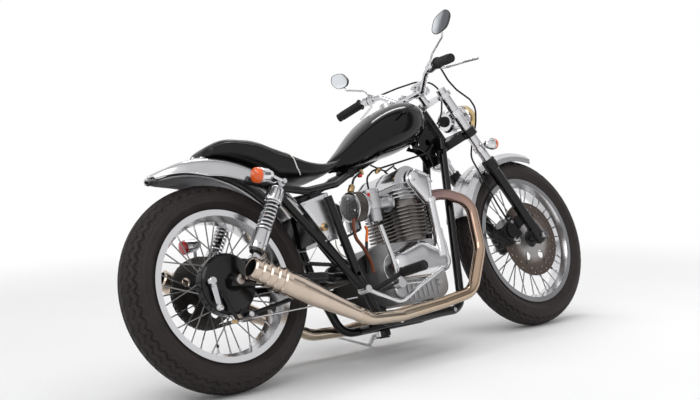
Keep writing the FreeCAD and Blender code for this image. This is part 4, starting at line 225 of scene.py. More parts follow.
finish("lamp", (0.72, 0.72, 0.735), 1, 0.09, 0.02, tint=0.03)
finish("mirror", (0.80, 0.82, 0.84), 1, 0.03, 0.01, tint=0.02)
# Of the small things that this script adds
finish("spoke_steel", (0.24, 0.235, 0.23), 1, 0.28, slot="chrome")
finish("plate_steel", (0.55, 0.55, 0.56), 1, 0.3, bump=0.1, slot="polished_alloy")
finish("brass", (0.50, 0.34, 0.17), 1, 0.3, bump=0.1, slot="polished_alloy")
finish("gold_plate", (0.62, 0.46, 0.22), 1, 0.18, 0.03, slot="lamp")
finish("orange_lens", (0.90, 0.12, 0.004), 0.12, 0.12, slot="indicator", clear=True)
finish("red_lens", (0.55, 0.012, 0.010), 0.12, 0.25, slot="lamp", clear=True)
finish("lamp_glass", (0.95, 0.96, 0.97), 0.04, 0.85, slot="lamp", clear=True)
finish("mirror_glass", (0.80, 0.83, 0.86), 1, 0.03, 0.01, tint=0.02, slot="mirror")
finish("dark_rim", (0.015, 0.015, 0.016), 0, 0.3, coat=0.5, slot="mirror")
finish("white_piping", (0.78, 0.77, 0.74), 0, 0.45, bump=0.2, slot="seat_leather")
finish("dial_white", (0.80, 0.79, 0.74), 0, 0.4, tint=0.03, slot="chrome")
finish("black_rubber", (0.018, 0.018, 0.018), 0, 0.6, bump=0.3, slot="grip_rubber")
finish("dark_casting", (0.035, 0.035, 0.037), 0.6, 0.42, bump=0.5, bump_scale=900, slot="black_paint")
finish("spring_black", (0.012, 0.012, 0.013), 0, 0.25, coat=0.6, slot="black_paint")
finish("wire_orange", (0.75, 0.16, 0.02), 0, 0.45, slot="grip_rubber")
finish("wire_red", (0.45, 0.03, 0.02), 0, 0.45, slot="grip_rubber")
finish("oily_steel", (0.16, 0.15, 0.14), 1, 0.35, bump=0.2, slot="chain_steel")
finish("filter_mesh", (0.12, 0.11, 0.10), 0.8, 0.5, bump=0.6, bump_scale=1200, slot="grip_rubber")
finish("copper_hose", (0.16, 0.045, 0.022), 0, 0.4, bump=0.3, slot="grip_rubber")
finish("pale_wire", (0.55, 0.50, 0.40), 0, 0.45, slot="grip_rubber")


# Finishes of single nodes, whose colour isn't their slot's own. Shades run from near to far.
HEATED = [(0.26, 0.17, 0.17), (0.38, 0.25, 0.20), (0.50, 0.36, 0.26)]
BRONZED = [(0.50, 0.37, 0.26), (0.53, 0.42, 0.31), (0.56, 0.47, 0.37)]
CAST = [(0.50, 0.50, 0.51), (0.47, 0.47, 0.48), (0.34, 0.34, 0.34)]
# The crankcase runs darker with distance from its front, towards the gearbox at its back
DARKER_TOWARD_GEARBOX = [(0.07, 0.07, 0.07), (0.03, 0.03, 0.03), (0.02, 0.02, 0.02)]
DRUM = [(0.016, 0.016, 0.017), (0.02, 0.02, 0.021)]
RIM = [(0.72, 0.72, 0.73), (0.76, 0.76, 0.77)]
CARRIER = [(0.04, 0.04, 0.04), (0.50, 0.49, 0.48), (0.50, 0.48, 0.46)]
RUSTED = [(0.17, 0.135, 0.115), (0.13, 0.10, 0.085)]
NODE_FINISHES = {
    "cylinder_block": surface("barrel_alloy", (0.20, 0.185, 0.175), 1, 0.42, 0.05, bump=0.5, bump_scale=900,
                              tint=0.15, grain=30),
    "cylinder_head": surface("head_alloy", (0.46, 0.46, 0.465), 1, 0.32, 0.05, bump=0.4, bump_scale=900,
                             tint=0.1, grain=30),
    "crankcase": zoned("case_alloy", CAST, DARKER_TOWARD_GEARBOX, at(0.86, -0.03, 0.33), (0.05, 0.42), 0.9, 0.36, 40, 0.5,
                       0.12),
    "air_filters": surface("filter_caps", (0.72, 0.72, 0.73), 1, 0.24, 0.04, tint=0.04, grain=30),
    "side_plates": surface("plate_alloy", (0.88, 0.88, 0.89), 1, 0.34, 0.04, tint=0.02, grain=30),
    "front_wheel": surface("front_rim_alloy", (0.74, 0.74, 0.75), 1, 0.16, 0.03, tint=0.02, grain=12),
    "rear_wheel": zoned("rear_rim_and_drum", DRUM, RIM, REAR_AXLE, (0.104, 0.19), 1, 0.17, 20, 0.0, 0.0),
    "front_brake_disc": zoned("disc_rusted", CARRIER, RUSTED, FRONT_AXLE, (0.045, 0.14), 1, 0.34, 60, 0.2,
                              0.15),
}
for side_name, side in (("right", -1), ("left", 1)):
    port = at(0.93, side * 0.07, 0.55)
    NODE_FINISHES["exhaust_pipe_" + side_name] = zoned("heated_" + side_name, HEATED, BRONZED, port,
                                                       (0.05, 0.60), 1, 0.13, 25)
SLOT_OF = {row["node"]: row["material_slot"] for row in frame["record"]["subparts"]}
for node, item in frame["nodes"].items():
    item.data.materials.clear()
    item.data.materials.append(NODE_FINISHES.get(node) or FINISHES[SLOT_OF[node]])


# Mesh tools
TAU = 2 * math.pi
SIDES = (1, -1)


def make(name, corners, faces, finish, body, smooth=True, sharp_angle=40):
    """A mesh in the row frame that rides on a body, if one is named, and takes a finish."""
    mesh = bpy.data.meshes.new(name)
    mesh.from_pydata([tuple(corner) for corner in corners], [], faces)
    mesh.materials.append(FINISHES[finish])
    if smooth:
        mesh.polygons.foreach_set("use_smooth", [True] * len(mesh.polygons))
        mesh.set_sharp_from_angle(angle=math.radians(sharp_angle))
    item = bpy.data.objects.new(name, mesh)
    bpy.context.scene.collection.objects.link(item)
    if body:
        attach(item, body)
    return item


def turned(first, second, turn):
    """A direction turned from one towards another."""
    return first * math.cos(turn) + second * math.sin(turn)


def spun(way, turn):
    """A direction square to a line, turned about it."""
    base = way.orthogonal().normalized()
    return turned(base, way.cross(base), turn)


def pairs_round(points):
    """Each point of a closed outline with the next one."""
    return zip(points, points[1:] + points[:1])


def span(start, end):
    """The direction from one place to another, and how far it is."""
    return (end - start).normalized(), (end - start).length


def ring_faces(rows, sides, ends=True):
    """Faces between rings of corners, and one face on each end."""
    faces = [(row * sides + n, row * sides + (n + 1) % sides,
              (row + 1) * sides + (n + 1) % sides, (row + 1) * sides + n)
             for row in range(rows - 1) for n in range(sides)]
    if ends:
        faces += [tuple(reversed(range(sides))), tuple(range((rows - 1) * sides, rows * sides))]
    return faces


def coil(start, way, first, last, turns, steps, radius):
    """Points of a coil round a line, from one place along it to another."""
    total = turns * steps
    return [start + way * (first + (last - first) * step / total) + spun(way, TAU * step / steps) * radius
            for step in range(total + 1)]


class Pile:
    """Corners and faces of many small forms that become one mesh."""

    def __init__(self):
        self.corners, self.faces = [], []

    def add(self, corners, faces):
        base = len(self.corners)
        self.corners += corners
        self.faces += [tuple(base + index for index in face) for face in faces]

    def lathe(self, start, way, outline, sides=24, closed=True):
        """An outline of (along, radius) turned about a line."""
        way = Vector(way).normalized()
        around = [spun(way, TAU * step / sides) for step in range(sides)]
        self.add([start + way * along + out * radius for along, radius in outline for out in around],
                 ring_faces(len(outline), sides, closed))

    def rod(self, start, end, radius, sides=12):
        self.lathe(start, end - start, [(0, radius), ((end - start).length, radius)], sides)

    def band(self, start, way, low, high, length, bevel, sides, closed=True):
        """A raised band with bevelled edges: low and high are its radii."""
        outline = [(0, low), (bevel, high), (length - bevel, high), (length, low)]
        self.lathe(start, way, outline, sides, closed)

    def tube(self, points, radius, sides=10, steps=8):
        """A round cord through points, smoothed between them."""
        line = curve_through(points, steps)
        corners = []
        normal = (line[1] - line[0]).orthogonal().normalized()
        for index, point in enumerate(line):
            ahead = (line[min(index + 1, len(line) - 1)] - line[max(index - 1, 0)]).normalized()
            normal = (normal - ahead * normal.dot(ahead)).normalized()
            across = ahead.cross(normal)
            corners += [point + turned(normal, across, TAU * step / sides) * radius for step in range(sides)]
        self.add(corners, ring_faces(len(line), sides))

    def bolt(self, place, way, across_flats, height, washer=True):
        """A hexagon head with a chamfer on a washer."""
        radius = across_flats / math.sqrt(3)
        if washer:
            self.lathe(place, way, [(-0.001, radius * 1.25), (height * 0.2, radius * 1.25)], 20)
        self.lathe(place, way, [(0, radius), (height * 0.85, radius), (height, radius * 0.85)], 6)

    def screw(self, place, way, radius, height):
        """A socket screw's head."""
        self.lathe(place, way, [(-0.0005, radius), (height * 0.8, radius), (height, radius * 0.86),
                                (height, radius * 0.5), (height * 0.4, radius * 0.45)], 14)

    def slab(self, outline, low, high):
        """An outline of row-frame points extruded from one offset to another."""
        self.add([point + low for point in outline] + [point + high for point in outline],
                 ring_faces(2, len(outline)))

    def finish(self, name, finish, body, **options):
        return make(name, self.corners, self.faces, finish, body, **options)


def curve_through(points, steps):
    """A smooth line through points."""
    points = [Vector(point) for point in points]
    if len(points) < 3 or steps < 2:
        return points
    ends = [points[0] * 2 - points[1], *points, points[-1] * 2 - points[-2]]
    line = []
    for a, b, c, d in zip(ends, ends[1:], ends[2:], ends[3:]):
        for step in range(steps):
            t = step / steps
            line.append(0.5 * (b * 2 + (c - a) * t + (a * 2 - b * 5 + c * 4 - d) * t * t
                               + (b * 3 - a - c * 3 + d) * t ** 3))
    return line + [points[-1]]


# Steering group: places are ahead of the steering axis, to the left and up it
RAKE = math.radians(29.5)
FORK_OFFSET = 0.058
FORK_AHEAD = turned(AHEAD, UP, RAKE)
FORK_UP = turned(UP, -AHEAD, RAKE)
FORK_FOOT = FRONT_AXLE - FORK_AHEAD * FORK_OFFSET


def mm(ahead, left, up):
    """A place in the drawing's millimetres: ahead of the rear axle, out to the left, above the axle."""
    return REAR_AXLE + AHEAD * (ahead / 1000) + LEFT * (left / 1000) + UP * (up / 1000)


def fork_mm(ahead, left, up):
    """A place in millimetres on the steered parts."""
    return FORK_FOOT + FORK_AHEAD * (ahead / 1000) + LEFT * (left / 1000) + FORK_UP * (up / 1000)


def bar_way(side):
    """The direction of the handlebar beside a grip."""
    return span(fork_mm(4, side * 138, 804), fork_mm(-15, side * 222, 819))[0]


def wheel_point(centre, turn, across, radius):
    """A point of a wheel: its turn forward from the top, across to the left, and radius."""
    return centre + LEFT * across + turned(UP, AHEAD, turn) * radius


# Wheels: the tread's lanes and waves are in degrees from the crown, and sizes are in metres
FULL_TREAD = 60
GROOVE_LANES = (10, 30, 50)
GROOVE_HALF = 2.4
WAVE = 4.5
GROOVE_DEPTH, CUT_DEPTH, LINE_DEPTH = 0.0045, 0.0022, 0.0012
REAR_RIM, FRONT_RIM = 0.2425, 0.2545
SPOKE_COUNT, STAGGER, SPOKE_RADIUS, WELL_DEPTH = 36, 0.0026, 0.0022, 0.026
NIPPLE = ((0, 0.0036), (0.010, 0.0036), (0.017, 0.0030))
VALVE_FOOT, VALVE_TIP, VALVE_RADIUS = 0.031, 0.062, 0.0036


def tread_depth(step, phase):
    """How deep the tread is cut, by the degrees from the crown and the eighth of a block."""
    away, wave = abs(step), WAVE * math.cos(TAU * phase / 8)
    if away > FULL_TREAD:
        return LINE_DEPTH if away in (66, 81) else 0.0
    # Wavy grooves run round the tread, with short cuts between them
    if min(abs(away - lane - (wave if lane % 20 else -wave)) for lane in GROOVE_LANES) < GROOVE_HALF:
        return GROOVE_DEPTH
    return CUT_DEPTH if phase in (0, 4) and away > 8 and (away // 9 + phase // 4) % 2 else 0.0


def make_tyre(name, node, centre, radius, section, rim_radius, rim_half, body, blocks):
    """A treaded tyre: a grid round the wheel whose grooves are pressed in."""
    around, middle = blocks * 8, radius - section
    profile = [(section * math.sin(math.radians(step)), middle + section * math.cos(math.radians(step)), step)
               for step in range(-90, 91, 3)]
    bead = [(rim_half - 0.0005, rim_radius + 0.002, 95), (rim_half - 0.0005, rim_radius - 0.012, 99)]
    profile = [(-across, level, -99) for across, level, _ in reversed(bead)] + profile + bead
    corners, faces, count = [], [], len(profile)
    for column in range(around):
        angle, other = TAU * column / around, (column + 1) % around
        for across, level, step in profile:
            scale = 1 - tread_depth(step, column % 8) / section
            corners.append(wheel_point(centre, angle, across * scale, middle + (level - middle) * scale))
        here, there = column * count, other * count
        faces += [(here + row, there + row, there + row + 1, here + row + 1) for row in range(count - 1)]
    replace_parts(make(name, corners, faces, "tyre_rubber", body, sharp_angle=25), node)


def make_spokes(name, centre, rim_radius, ends, body):
    """Round spokes over the frame's, each with a nipple at the rim."""
    pile, nipples, well = Pile(), Pile(), rim_radius - WELL_DEPTH
    for number in range(SPOKE_COUNT):
        side = 1 if number % 2 else -1
        sweep = 1 if (number // 2) % 2 else -1
        radius, across = ends[side]
        shift, pitch = sweep * STAGGER, TAU / SPOKE_COUNT
        rim = wheel_point(centre, pitch * number, side * 0.003 + shift, well - 0.003)
        hub = wheel_point(centre, pitch * (number + 2 * sweep), side * across + shift, radius)
        pile.rod(hub, rim, SPOKE_RADIUS, 8)
        way = (hub - rim).normalized()
        nipples.lathe(rim - way * 0.002, way, NIPPLE, 8)
    pile.finish(name, "spoke_steel", body)
    nipples.finish(name + "_nipples", "chrome", body)


make_tyre("rear_tyre_treaded", "rear_tyre", REAR_AXLE, radius=REAR_TYRE_RADIUS, section=0.068,
          rim_radius=REAR_RIM, rim_half=0.046, body="rear_wheel", blocks=52)
make_tyre("front_tyre_treaded", "front_tyre", FRONT_AXLE, radius=0.340, section=0.056,
          rim_radius=FRONT_RIM, rim_half=0.036, body="front_wheel", blocks=56)
# The spokes' ends at the hub are (radius, across) for each side
make_spokes("rear_spokes", REAR_AXLE, REAR_RIM, {1: (0.040, 0.0365), -1: (0.092, 0.0415)}, "rear_wheel")
make_spokes("front_spokes", FRONT_AXLE, FRONT_RIM, dict.fromkeys(SIDES, (0.025, 0.0275)), "front_wheel")


# Rear shocks: fluted covers, an open coil, a damper and rubber-bushed eyes
def make_shocks():
    bright, dark = Pile(), Pile()
    for side in SIDES:
        low, top = mm(57, side * 148, 55.5), mm(212, side * 148, 287.5)
        way, length = span(low, top)
        for eye in (low, top):
            for pile, half, inner, outer in ((bright, 0.009, 0.0105, 0.015), (dark, 0.0088, 0.0062, 0.0105)):
                pile.lathe(eye - LEFT * half, LEFT, [(0, inner), (0, outer), (2 * half, outer),
                                                     (2 * half, inner)], 24, closed=False)
        bright.rod(low + way * 0.014, low + way * 0.03, 0.009, 16)
        bright.rod(top - way * 0.022, top - way * 0.014, 0.012, 16)
        dark.lathe(low, way, [(0.018, 0.012), (0.021, 0.022), (0.030, 0.0245), (0.034, 0.021)], 32)
        bright.lathe(low, way, [(0.030, 0.0245), (0.033, 0.0272), (0.094, 0.0272), (0.097, 0.0262),
                                (0.0985, 0.015)], 40)
        bright.lathe(top, way, [(-0.074, 0.018), (-0.073, 0.0272), (-0.071, 0.0284), (-0.027, 0.0284),
                                (-0.0225, 0.025), (-0.0215, 0.012)], 40)
        dark.rod(low + way * 0.09, top - way * 0.06, 0.0112, 24)
        for step in range(16):
            out = spun(way, TAU * step / 16)
            dark.rod(top - way * 0.068 + out * 0.0281, top - way * 0.030 + out * 0.0281, 0.0013, 6)
            if step % 2:
                dark.rod(low + way * 0.042 + out * 0.0268, low + way * 0.048 + out * 0.0268, 0.0018, 6)
        bright.tube(coil(low, way, 0.0985, length - 0.072, 8, 16, 0.0222), 0.0036, 8, 1)
    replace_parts(bright.finish("rear_shock_metal", "chrome", "chassis"), "rear_shocks")
    dark.finish("rear_shock_black", "spring_black", "chassis")


# Chain: plates, rollers and pins along the run round both sprockets
CHAIN_PITCH = 0.015875
REAR_SPROCKET, FRONT_SPROCKET = 0.114, 0.048
EYE_RADIUS, WAIST_RADIUS, PLATE_HALF = 0.0071, 0.0054, 0.0007
INNER_PLATES, OUTER_PLATES = 0.0051, 0.0068


def link_outline(start, end):
    """A waisted plate round two pins."""
    way, middle = (end - start).normalized(), (start + end) / 2
    across = LEFT.cross(way)
    arcs = ((end, EYE_RADIUS, (-60, 0, 60)), (middle, WAIST_RADIUS, (90,)),
            (start, EYE_RADIUS, (120, 180, 240)), (middle, WAIST_RADIUS, (270,)))
    return [centre + turned(way, across, math.radians(degrees)) * radius
            for centre, radius, turns in arcs for degrees in turns]


def make_chain():
    rear, front = mm(0, 82, 0), mm(532, 82, -14.5)
    ahead, rise = (front - rear).dot(AHEAD), (front - rear).dot(UP)
    away, reach = math.atan2(rise, ahead), math.hypot(ahead, rise)
    tilt = math.asin((REAR_SPROCKET - FRONT_SPROCKET) / reach)
    straight = reach * math.cos(tilt)
    top, low = away + math.pi / 2 - tilt, away - math.pi / 2 + tilt
    # Stretches of the run: length, the sprocket's centre and radius, its turn and if it is an arc
    stretches = ((straight, rear, REAR_SPROCKET, top, False),
                 (FRONT_SPROCKET * (top - low), front, FRONT_SPROCKET, top, True),
                 (straight, front, FRONT_SPROCKET, low, False),
                 (REAR_SPROCKET * (TAU - (top - low)), rear, REAR_SPROCKET, low, True))
    whole = sum(stretch[0] for stretch in stretches)

    def point(share):
        distance = share % 1 * whole
        for length, centre, radius, turn, is_arc in stretches:
            if distance <= length:
                break
            distance -= length
        if is_arc:
            turn -= distance / radius
        place = centre + turned(AHEAD, UP, turn) * radius
        return place if is_arc else place + turned(-UP, AHEAD, turn) * distance

    count = 2 * round(whole / CHAIN_PITCH / 2)
    plates, rollers, rim = Pile(), Pile(), Pile()
    for link in range(count):
        start, end = point(link / count), point((link + 1) / count)
        offset = OUTER_PLATES if link % 2 else INNER_PLATES
        for side in SIDES:
            plates.slab(link_outline(start, end), LEFT * (side * offset - PLATE_HALF),
                        LEFT * (side * offset + PLATE_HALF))
        for half, radius, sides in ((0.0046, 0.0047, 10), (0.0082, 0.0024, 8)):
            rollers.rod(start - LEFT * half, start + LEFT * half, radius, sides)
    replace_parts(plates.finish("chain_plates", "chain_steel", "chassis", smooth=False), "drive_chain")
    rollers.finish("chain_rollers", "oily_steel", "chassis")
    # The wheel's own toothed rim, in between the chain's plates
    rim.lathe(rear - LEFT * 0.0034, LEFT, [(0, 0.100), (0, 0.1092), (0.0068, 0.1092), (0.0068, 0.100)], 84,
              False)
    rim.finish("sprocket_rim", "chain_steel", "rear_wheel")


# Seat: a crowned pad with rolled pleats, a piped edge and a smooth shell under it.
# Its columns are (share from the tail, top, underside, half width).
SEAT_COLUMNS = [(0, 1.07, -0.3, 0.6), (0.11, 1.45, -0.3, 0.8), (0.32, 1.3, -0.5, 0.96),
                (0.51, 0.75, -0.65, 1), (0.68, 0.16, -0.7, 0.99), (0.83, 0, -0.62, 0.87),
                (1, 0.2, -0.1, 0.56)]
PAN_RADIUS = 412.4
SEAT_TAIL, SEAT_LENGTH, SEAT_HALF, SEAT_LEVEL, SEAT_RISE = 24, 532, 110, 366, 74
SIDE_ROUNDING, TOP_ROUNDING = 0.62, 0.55
PIPING_RADIUS = 0.0019
PLEATS_FROM, PLEATS_TO, PLEAT_PITCH, PLEAT_DEPTH = 0.56, 0.975, 0.0275, 8


def seat_column(share):
    """Height, underside and half width of the seat, straight between its sections."""
    for (a, *first), (b, *last) in zip(SEAT_COLUMNS, SEAT_COLUMNS[1:]):
        if share <= b:
            part = (share - a) / (b - a)
            return [low + (high - low) * part for low, high in zip(first, last)]


def smooth_column(share):
    """The same, averaged over the places nearby."""
    near = [seat_column(min(1, max(0, share + shift))) for shift in (-0.05, -0.025, 0, 0.025, 0.05)]
    return [sum(values) / len(near) for values in zip(*near)]


def seat_place(share, turn, lift=0.0, sunk=0.0):
    """A point of the seat's skin: its share from the tail and its turn round from the left."""
    top, low, wide = smooth_column(share)
    pinch = 1 - 0.45 * max(0, 1 - min(share, 1 - share) / 0.035) ** 2
    half = SEAT_HALF * wide * pinch * 0.985
    ahead = SEAT_TAIL + SEAT_LENGTH * share
    pan = math.sqrt(max(0, PAN_RADIUS ** 2 - ahead ** 2))
    under = max(SEAT_LEVEL + SEAT_RISE * low, pan + 1)
    high = max(SEAT_LEVEL + SEAT_RISE * top - (1 - pinch) * 20, under + 14)
    c, s = math.cos(turn), math.sin(turn)
    across = (half + lift) * math.copysign(abs(c) ** SIDE_ROUNDING, c)
    level = (high + under) / 2 + ((high - under) / 2 + lift) * math.copysign(abs(s) ** TOP_ROUNDING, s)
    if s > 0.2 and abs(across) < half * 0.88:
        level -= sunk
    if s < 0:
        level = max(level, under)
    return mm(ahead, across, level)


def sewn_down(share):
    """How far the pleats' seams pull the skin down."""
    pleated = min(1, max(0, (share - PLEATS_FROM) / 0.02)) * min(1, max(0, (PLEATS_TO - share) / 0.02))
    roll = (share - PLEATS_FROM) / PLEAT_PITCH % 1
    return (1 - abs(math.sin(math.pi * roll)) ** 0.6) * PLEAT_DEPTH * pleated


def make_seat():
    steps, sides = 200, 64
    corners = [seat_place(index / steps, TAU * side / sides, 0, sewn_down(index / steps))
               for index in range(steps + 1) for side in range(sides)]
    seat = make("seat_pad", corners, ring_faces(steps + 1, sides), "seat_leather", "chassis", sharp_angle=70)
    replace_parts(seat, "seat")
    # A dark bead along each side, and white piping where the raised back meets the pleats
    beads, white = Pile(), Pile()
    for turn in (0.16, math.pi - 0.16):
        beads.tube([seat_place(0.03 + 0.94 * step / 40, turn, 0.4) for step in range(41)],
                   PIPING_RADIUS, 8, 2)
    white.tube([seat_place(0.57 - 0.04 * math.sin(turn) + 0.02 * max(0, -math.sin(turn)), turn, 1.2)
                for turn in (math.pi * (-0.2 + 1.4 * step / 48) for step in range(49))],
               PIPING_RADIUS, 8, 2)
    beads.finish("seat_beads", "dark_rim", "chassis")
    white.finish("seat_white_piping", "white_piping", "chassis")


make_shocks()
make_chain()
make_seat()


# Lenses, glass and lamp details
def make_indicators(place, body, lamps, radius, share):
    """Orange lenses and bright rings: each lamp is (start, way, length), and share is its lens's start."""
    orange, bright = Pile(), Pile()
    for start, way, long in lamps:
        orange.lathe(start, way, [(share, radius + 0.0002), (share + 0.002, radius + 0.0006),
                                  (long - 0.008, radius - 0.0004), (long - 0.003, radius * 0.84),
                                  (long, radius * 0.55), (long + 0.0012, radius * 0.2)], 36)
        bright.lathe(start, way, [(share - 0.003, radius), (share - 0.0025, radius + 0.0012),
                                  (share + 0.0008, radius + 0.0012), (share + 0.0012, radius)], 36)
        for turn in (0.6, 2.5):
            across = turned(LEFT, UP, turn)
            bright.bolt(start + way * (long - 0.004) + across * radius * 0.72, way, 0.004, 0.0025, False)
    orange.finish(place + "_indicator_lenses", "orange_lens", body)
    bright.finish(place + "_indicator_rings", "chrome", body)


def make_headlamp():
    front, back = fork_mm(194, 0, 523), fork_mm(84, 0, 581)
    way = (front - back).normalized()
    across = way.cross(LEFT).normalized()
    ring, glass, dark, bolts = Pile(), Pile(), Pile(), Pile()
    ring.lathe(front, way, [(-0.034, 0.0582), (-0.033, 0.0605), (-0.006, 0.0605), (0.001, 0.0570),
                            (0.0015, 0.0535), (-0.002, 0.0525)], 48, closed=False)
    glass.lathe(front, way, [(0.0008 + 0.0045 * math.cos(step * math.pi / 16),
                              0.0530 * math.sin(step * math.pi / 16)) for step in range(8, 0, -1)], 40)
    for shift in range(-4, 5):
        middle = front + way * 0.003 + LEFT * (shift * 0.010)
        reach = across * math.sqrt(0.050 ** 2 - (shift * 0.010) ** 2)
        glass.rod(middle - reach, middle + reach, 0.0008, 6)
    dark.lathe(back, way, [(-0.012, 0.010), (-0.011, 0.020), (0.0, 0.022)], 20)
    for side in SIDES:
        bolts.bolt(fork_mm(109, side * 74, 567) + LEFT * side * 0.001, LEFT * side, 0.013, 0.008)
    ring.finish("headlamp_ring", "gold_plate", "steering")
    glass.finish("headlamp_glass", "lamp_glass", "steering")
    dark.finish("headlamp_grommet", "black_rubber", "steering")
    bolts.finish("headlamp_bolts", "chrome", "steering")


def make_tail_lamp():
    front = mm(66, 152, 173.5)
    way, long = span(front, mm(-8, 152, 165.5))
    lens, ring = Pile(), Pile()
    lens.lathe(front, way, [(long - 0.014, 0.0238), (long - 0.010, 0.0243), (long - 0.002, 0.0228),
                            (long + 0.001, 0.0150), (long + 0.0018, 0.0050)], 36)
    ring.band(front + way * (long - 0.018), way, 0.0240, 0.0252, 0.0065, 0.0005, 36)
    lens.finish("tail_lamp_lens", "red_lens", "chassis")
    ring.finish("tail_lamp_ring", "chrome", "chassis")


def rounded_loop(points, share=0.2, rounds=3):
    """A closed outline with its corners cut back round by round."""
    for _ in range(rounds):
        cut = []
        for a, b in pairs_round(points):
            cut += [a.lerp(b, share), b.lerp(a, share)]
        points, share = cut, 0.25
    return points


MIRROR_EDGES = ((28, 252, 923), (48, 282, 960), (54, 350, 970), (39, 364, 942), (20, 330, 909),
                (17, 270, 904))
# The shell's rings from its back round to the glass: share of the outline, and offset
MIRROR_RINGS = ((0.2, -0.0095), (0.6, -0.0088), (0.88, -0.0062), (0.985, -0.002), (1.0, 0.002),
                (0.99, 0.0060), (0.955, 0.0072), (0.925, 0.0058))
GLASS_RINGS = ((0.93, 0.0058), (0.5, 0.0066))
MIRROR_STEM = ((0, 182, 829), (16, 206, 854), (17, 290, 892), (24, 300, 914))


def make_mirrors():
    """Dark shells with silvered glass on bent stems, clamped to the bar."""
    shell, glass, metal = Pile(), Pile(), Pile()
    for side in SIDES:
        points = [fork_mm(ahead, side * out, up) for ahead, out, up in MIRROR_EDGES]
        middle = sum(points, Vector()) / len(points)
        normal = Vector()
        for a, b in pairs_round(points):
            normal += (a - middle).cross(b - middle)
        normal.normalize()
        if normal.dot(AHEAD) > 0:
            normal = -normal
            points.reverse()
        loop = rounded_loop([point - normal * normal.dot(point - middle) for point in points])
        count = len(loop)
        back, front = ([middle + (point - middle) * scale + normal * offset for scale, offset in rings
                       for point in loop] for rings in (MIRROR_RINGS, GLASS_RINGS))
        shell.add(back, [tuple(reversed(range(count)))] + ring_faces(len(MIRROR_RINGS), count, False))
        glass.add(front + [middle + normal * 0.0069],
                  ring_faces(2, count, False) + [(count + n, count + (n + 1) % count, 2 * count)
                                                 for n in range(count)])
        foot, bend, elbow, tip = (fork_mm(ahead, side * out, up) for ahead, out, up in MIRROR_STEM)
        metal.tube([foot, foot.lerp(bend, 0.5), bend, bend.lerp(elbow, 0.3), bend.lerp(elbow, 0.8), elbow,
                    tip, middle - normal * 0.008], 0.0044, 12, 5)
        metal.band(fork_mm(-6, side * 182, 811) - bar_way(side) * 0.010, bar_way(side), 0.0125, 0.0165, 0.020,
                   0.001, 28)
        metal.bolt(foot - (bend - foot).normalized() * 0.002, bend - foot, 0.014, 0.008)
        metal.lathe(middle - normal * 0.0135, normal, [(0, 0.0045), (0.001, 0.0075), (0.005, 0.0075)], 18)
    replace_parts(shell.finish("mirror_shells", "dark_rim", "steering"), "mirrors")
    glass.finish("mirror_glass", "mirror_glass", "steering")
    metal.finish("mirror_stems", "chrome", "steering")


make_mirrors()
front_lamps = [(fork_mm(58, side * 154, 431), AHEAD, 0.036) for side in SIDES]
rear_lamps = [(mm(176, side * 178, 309.5), *span(mm(176, side * 178, 309.5), mm(98, side * 178, 313.5)))
              for side in SIDES]
make_indicators("front", "steering", front_lamps, radius=0.022, share=0.016)
make_indicators("rear", "chassis", rear_lamps, radius=0.025, share=0.055)
make_headlamp()
make_tail_lamp()


# Engine: cover screws, head nuts, plugs, leads, filter pleats and the fuel line's fittings.
# Circles are (ahead, up, radius); each has its screws' degrees.
RIGHT_COVER = ((690, -32.5, 58), (790, -20.5, 75), (868, -32.5, 48))
LEFT_COVER = ((680, -32.5, 60), (800, -27.5, 70))
COVER_SCREWS = ((RIGHT_COVER, ((110, 150, 190, 235), (68, 100, 262, 292), (-50, 0, 50)), 124.0, -1),
                (LEFT_COVER, ((110, 150, 190, 235), (-60, -20, 20, 60, 95, 265)), 118.0, 1))
TOWER_SCREWS = ((835, 271.5, 27, 100), (835, 271.5, 27, 190), (868, 263.5, 22, 40), (868, 263.5, 24, -20),
                (866, 202, 6, -90))


def ring_of(pile, centre, way, radius, count, flats, height, first=0.0):
    """Screws in a circle about a line."""
    way = way.normalized()
    for step in range(count):
        pile.bolt(centre + spun(way, first + TAU * step / count) * radius, way, flats, height, False)


def place_round(ahead, up, reach, degrees, left):
    """A place round another one, as seen from the side."""
    turn = math.radians(degrees)
    return mm(ahead + reach * math.cos(turn), left, up + reach * math.sin(turn))


def make_engine_details():
    screws, nuts = Pile(), Pile()
    for circles, turns, face, side in COVER_SCREWS:
        for (ahead, up, radius), degrees in zip(circles, turns):
            for one in degrees:
                screws.screw(place_round(ahead, up, radius - 9, one, side * face), LEFT * side, 0.0048, 0.004)
    for ahead, up, reach, degrees in TOWER_SCREWS:
        screws.screw(place_round(ahead, up, reach, degrees, -146.3), -LEFT, 0.0040, 0.0035)
    for side in SIDES:
        for ahead in (757, 873):
            for out in (102, 30):
                nuts.bolt(mm(ahead, side * out, 263.6), UP, 0.012, 0.008)
        # Exhaust flange studs
        port = mm(896.5, side * 66, 212.5)
        way, _ = span(port, mm(1000, side * 84, 219.5))
        ring_of(nuts, port + way * 0.012, way, 0.0255, 2, 0.010, 0.008, 0.8)
        # Filter cap screws, three to each, on the cap's rear face
        ring_of(screws, mm(540.0, side * 76, 201.5), -AHEAD, 0.030, 3, 0.006, 0.003, 0.5)
        # Float bowl screws and drain
        for ahead in (626, 658):
            for out in (46, 78):
                screws.screw(mm(ahead, side * out, 141.6), -UP, 0.0026, 0.003)
        nuts.bolt(mm(642, side * 62, 141.5), -UP, 0.010, 0.006)
    screws.finish("engine_screws", "plate_steel", "chassis")
    nuts.finish("engine_nuts", "chrome", "chassis")


PLEAT_OUTSIDE, PLEAT_INSIDE = 0.0524, 0.0503


def make_filters():
    """Pleated elements between the filters' caps."""
    pleats, total = Pile(), 144
    for side in SIDES:
        corners = []
        for centre in (mm(547.4, side * 76, 201.5), mm(584.2, side * 76, 201.5)):
            for step in range(total):
                radius = PLEAT_OUTSIDE if step % 2 else PLEAT_INSIDE
                corners.append(centre + turned(LEFT, UP, TAU * step / total) * radius)
        pleats.add(corners, ring_faces(2, total, False))
    pleats.finish("filter_pleats", "filter_mesh", "chassis", smooth=False)


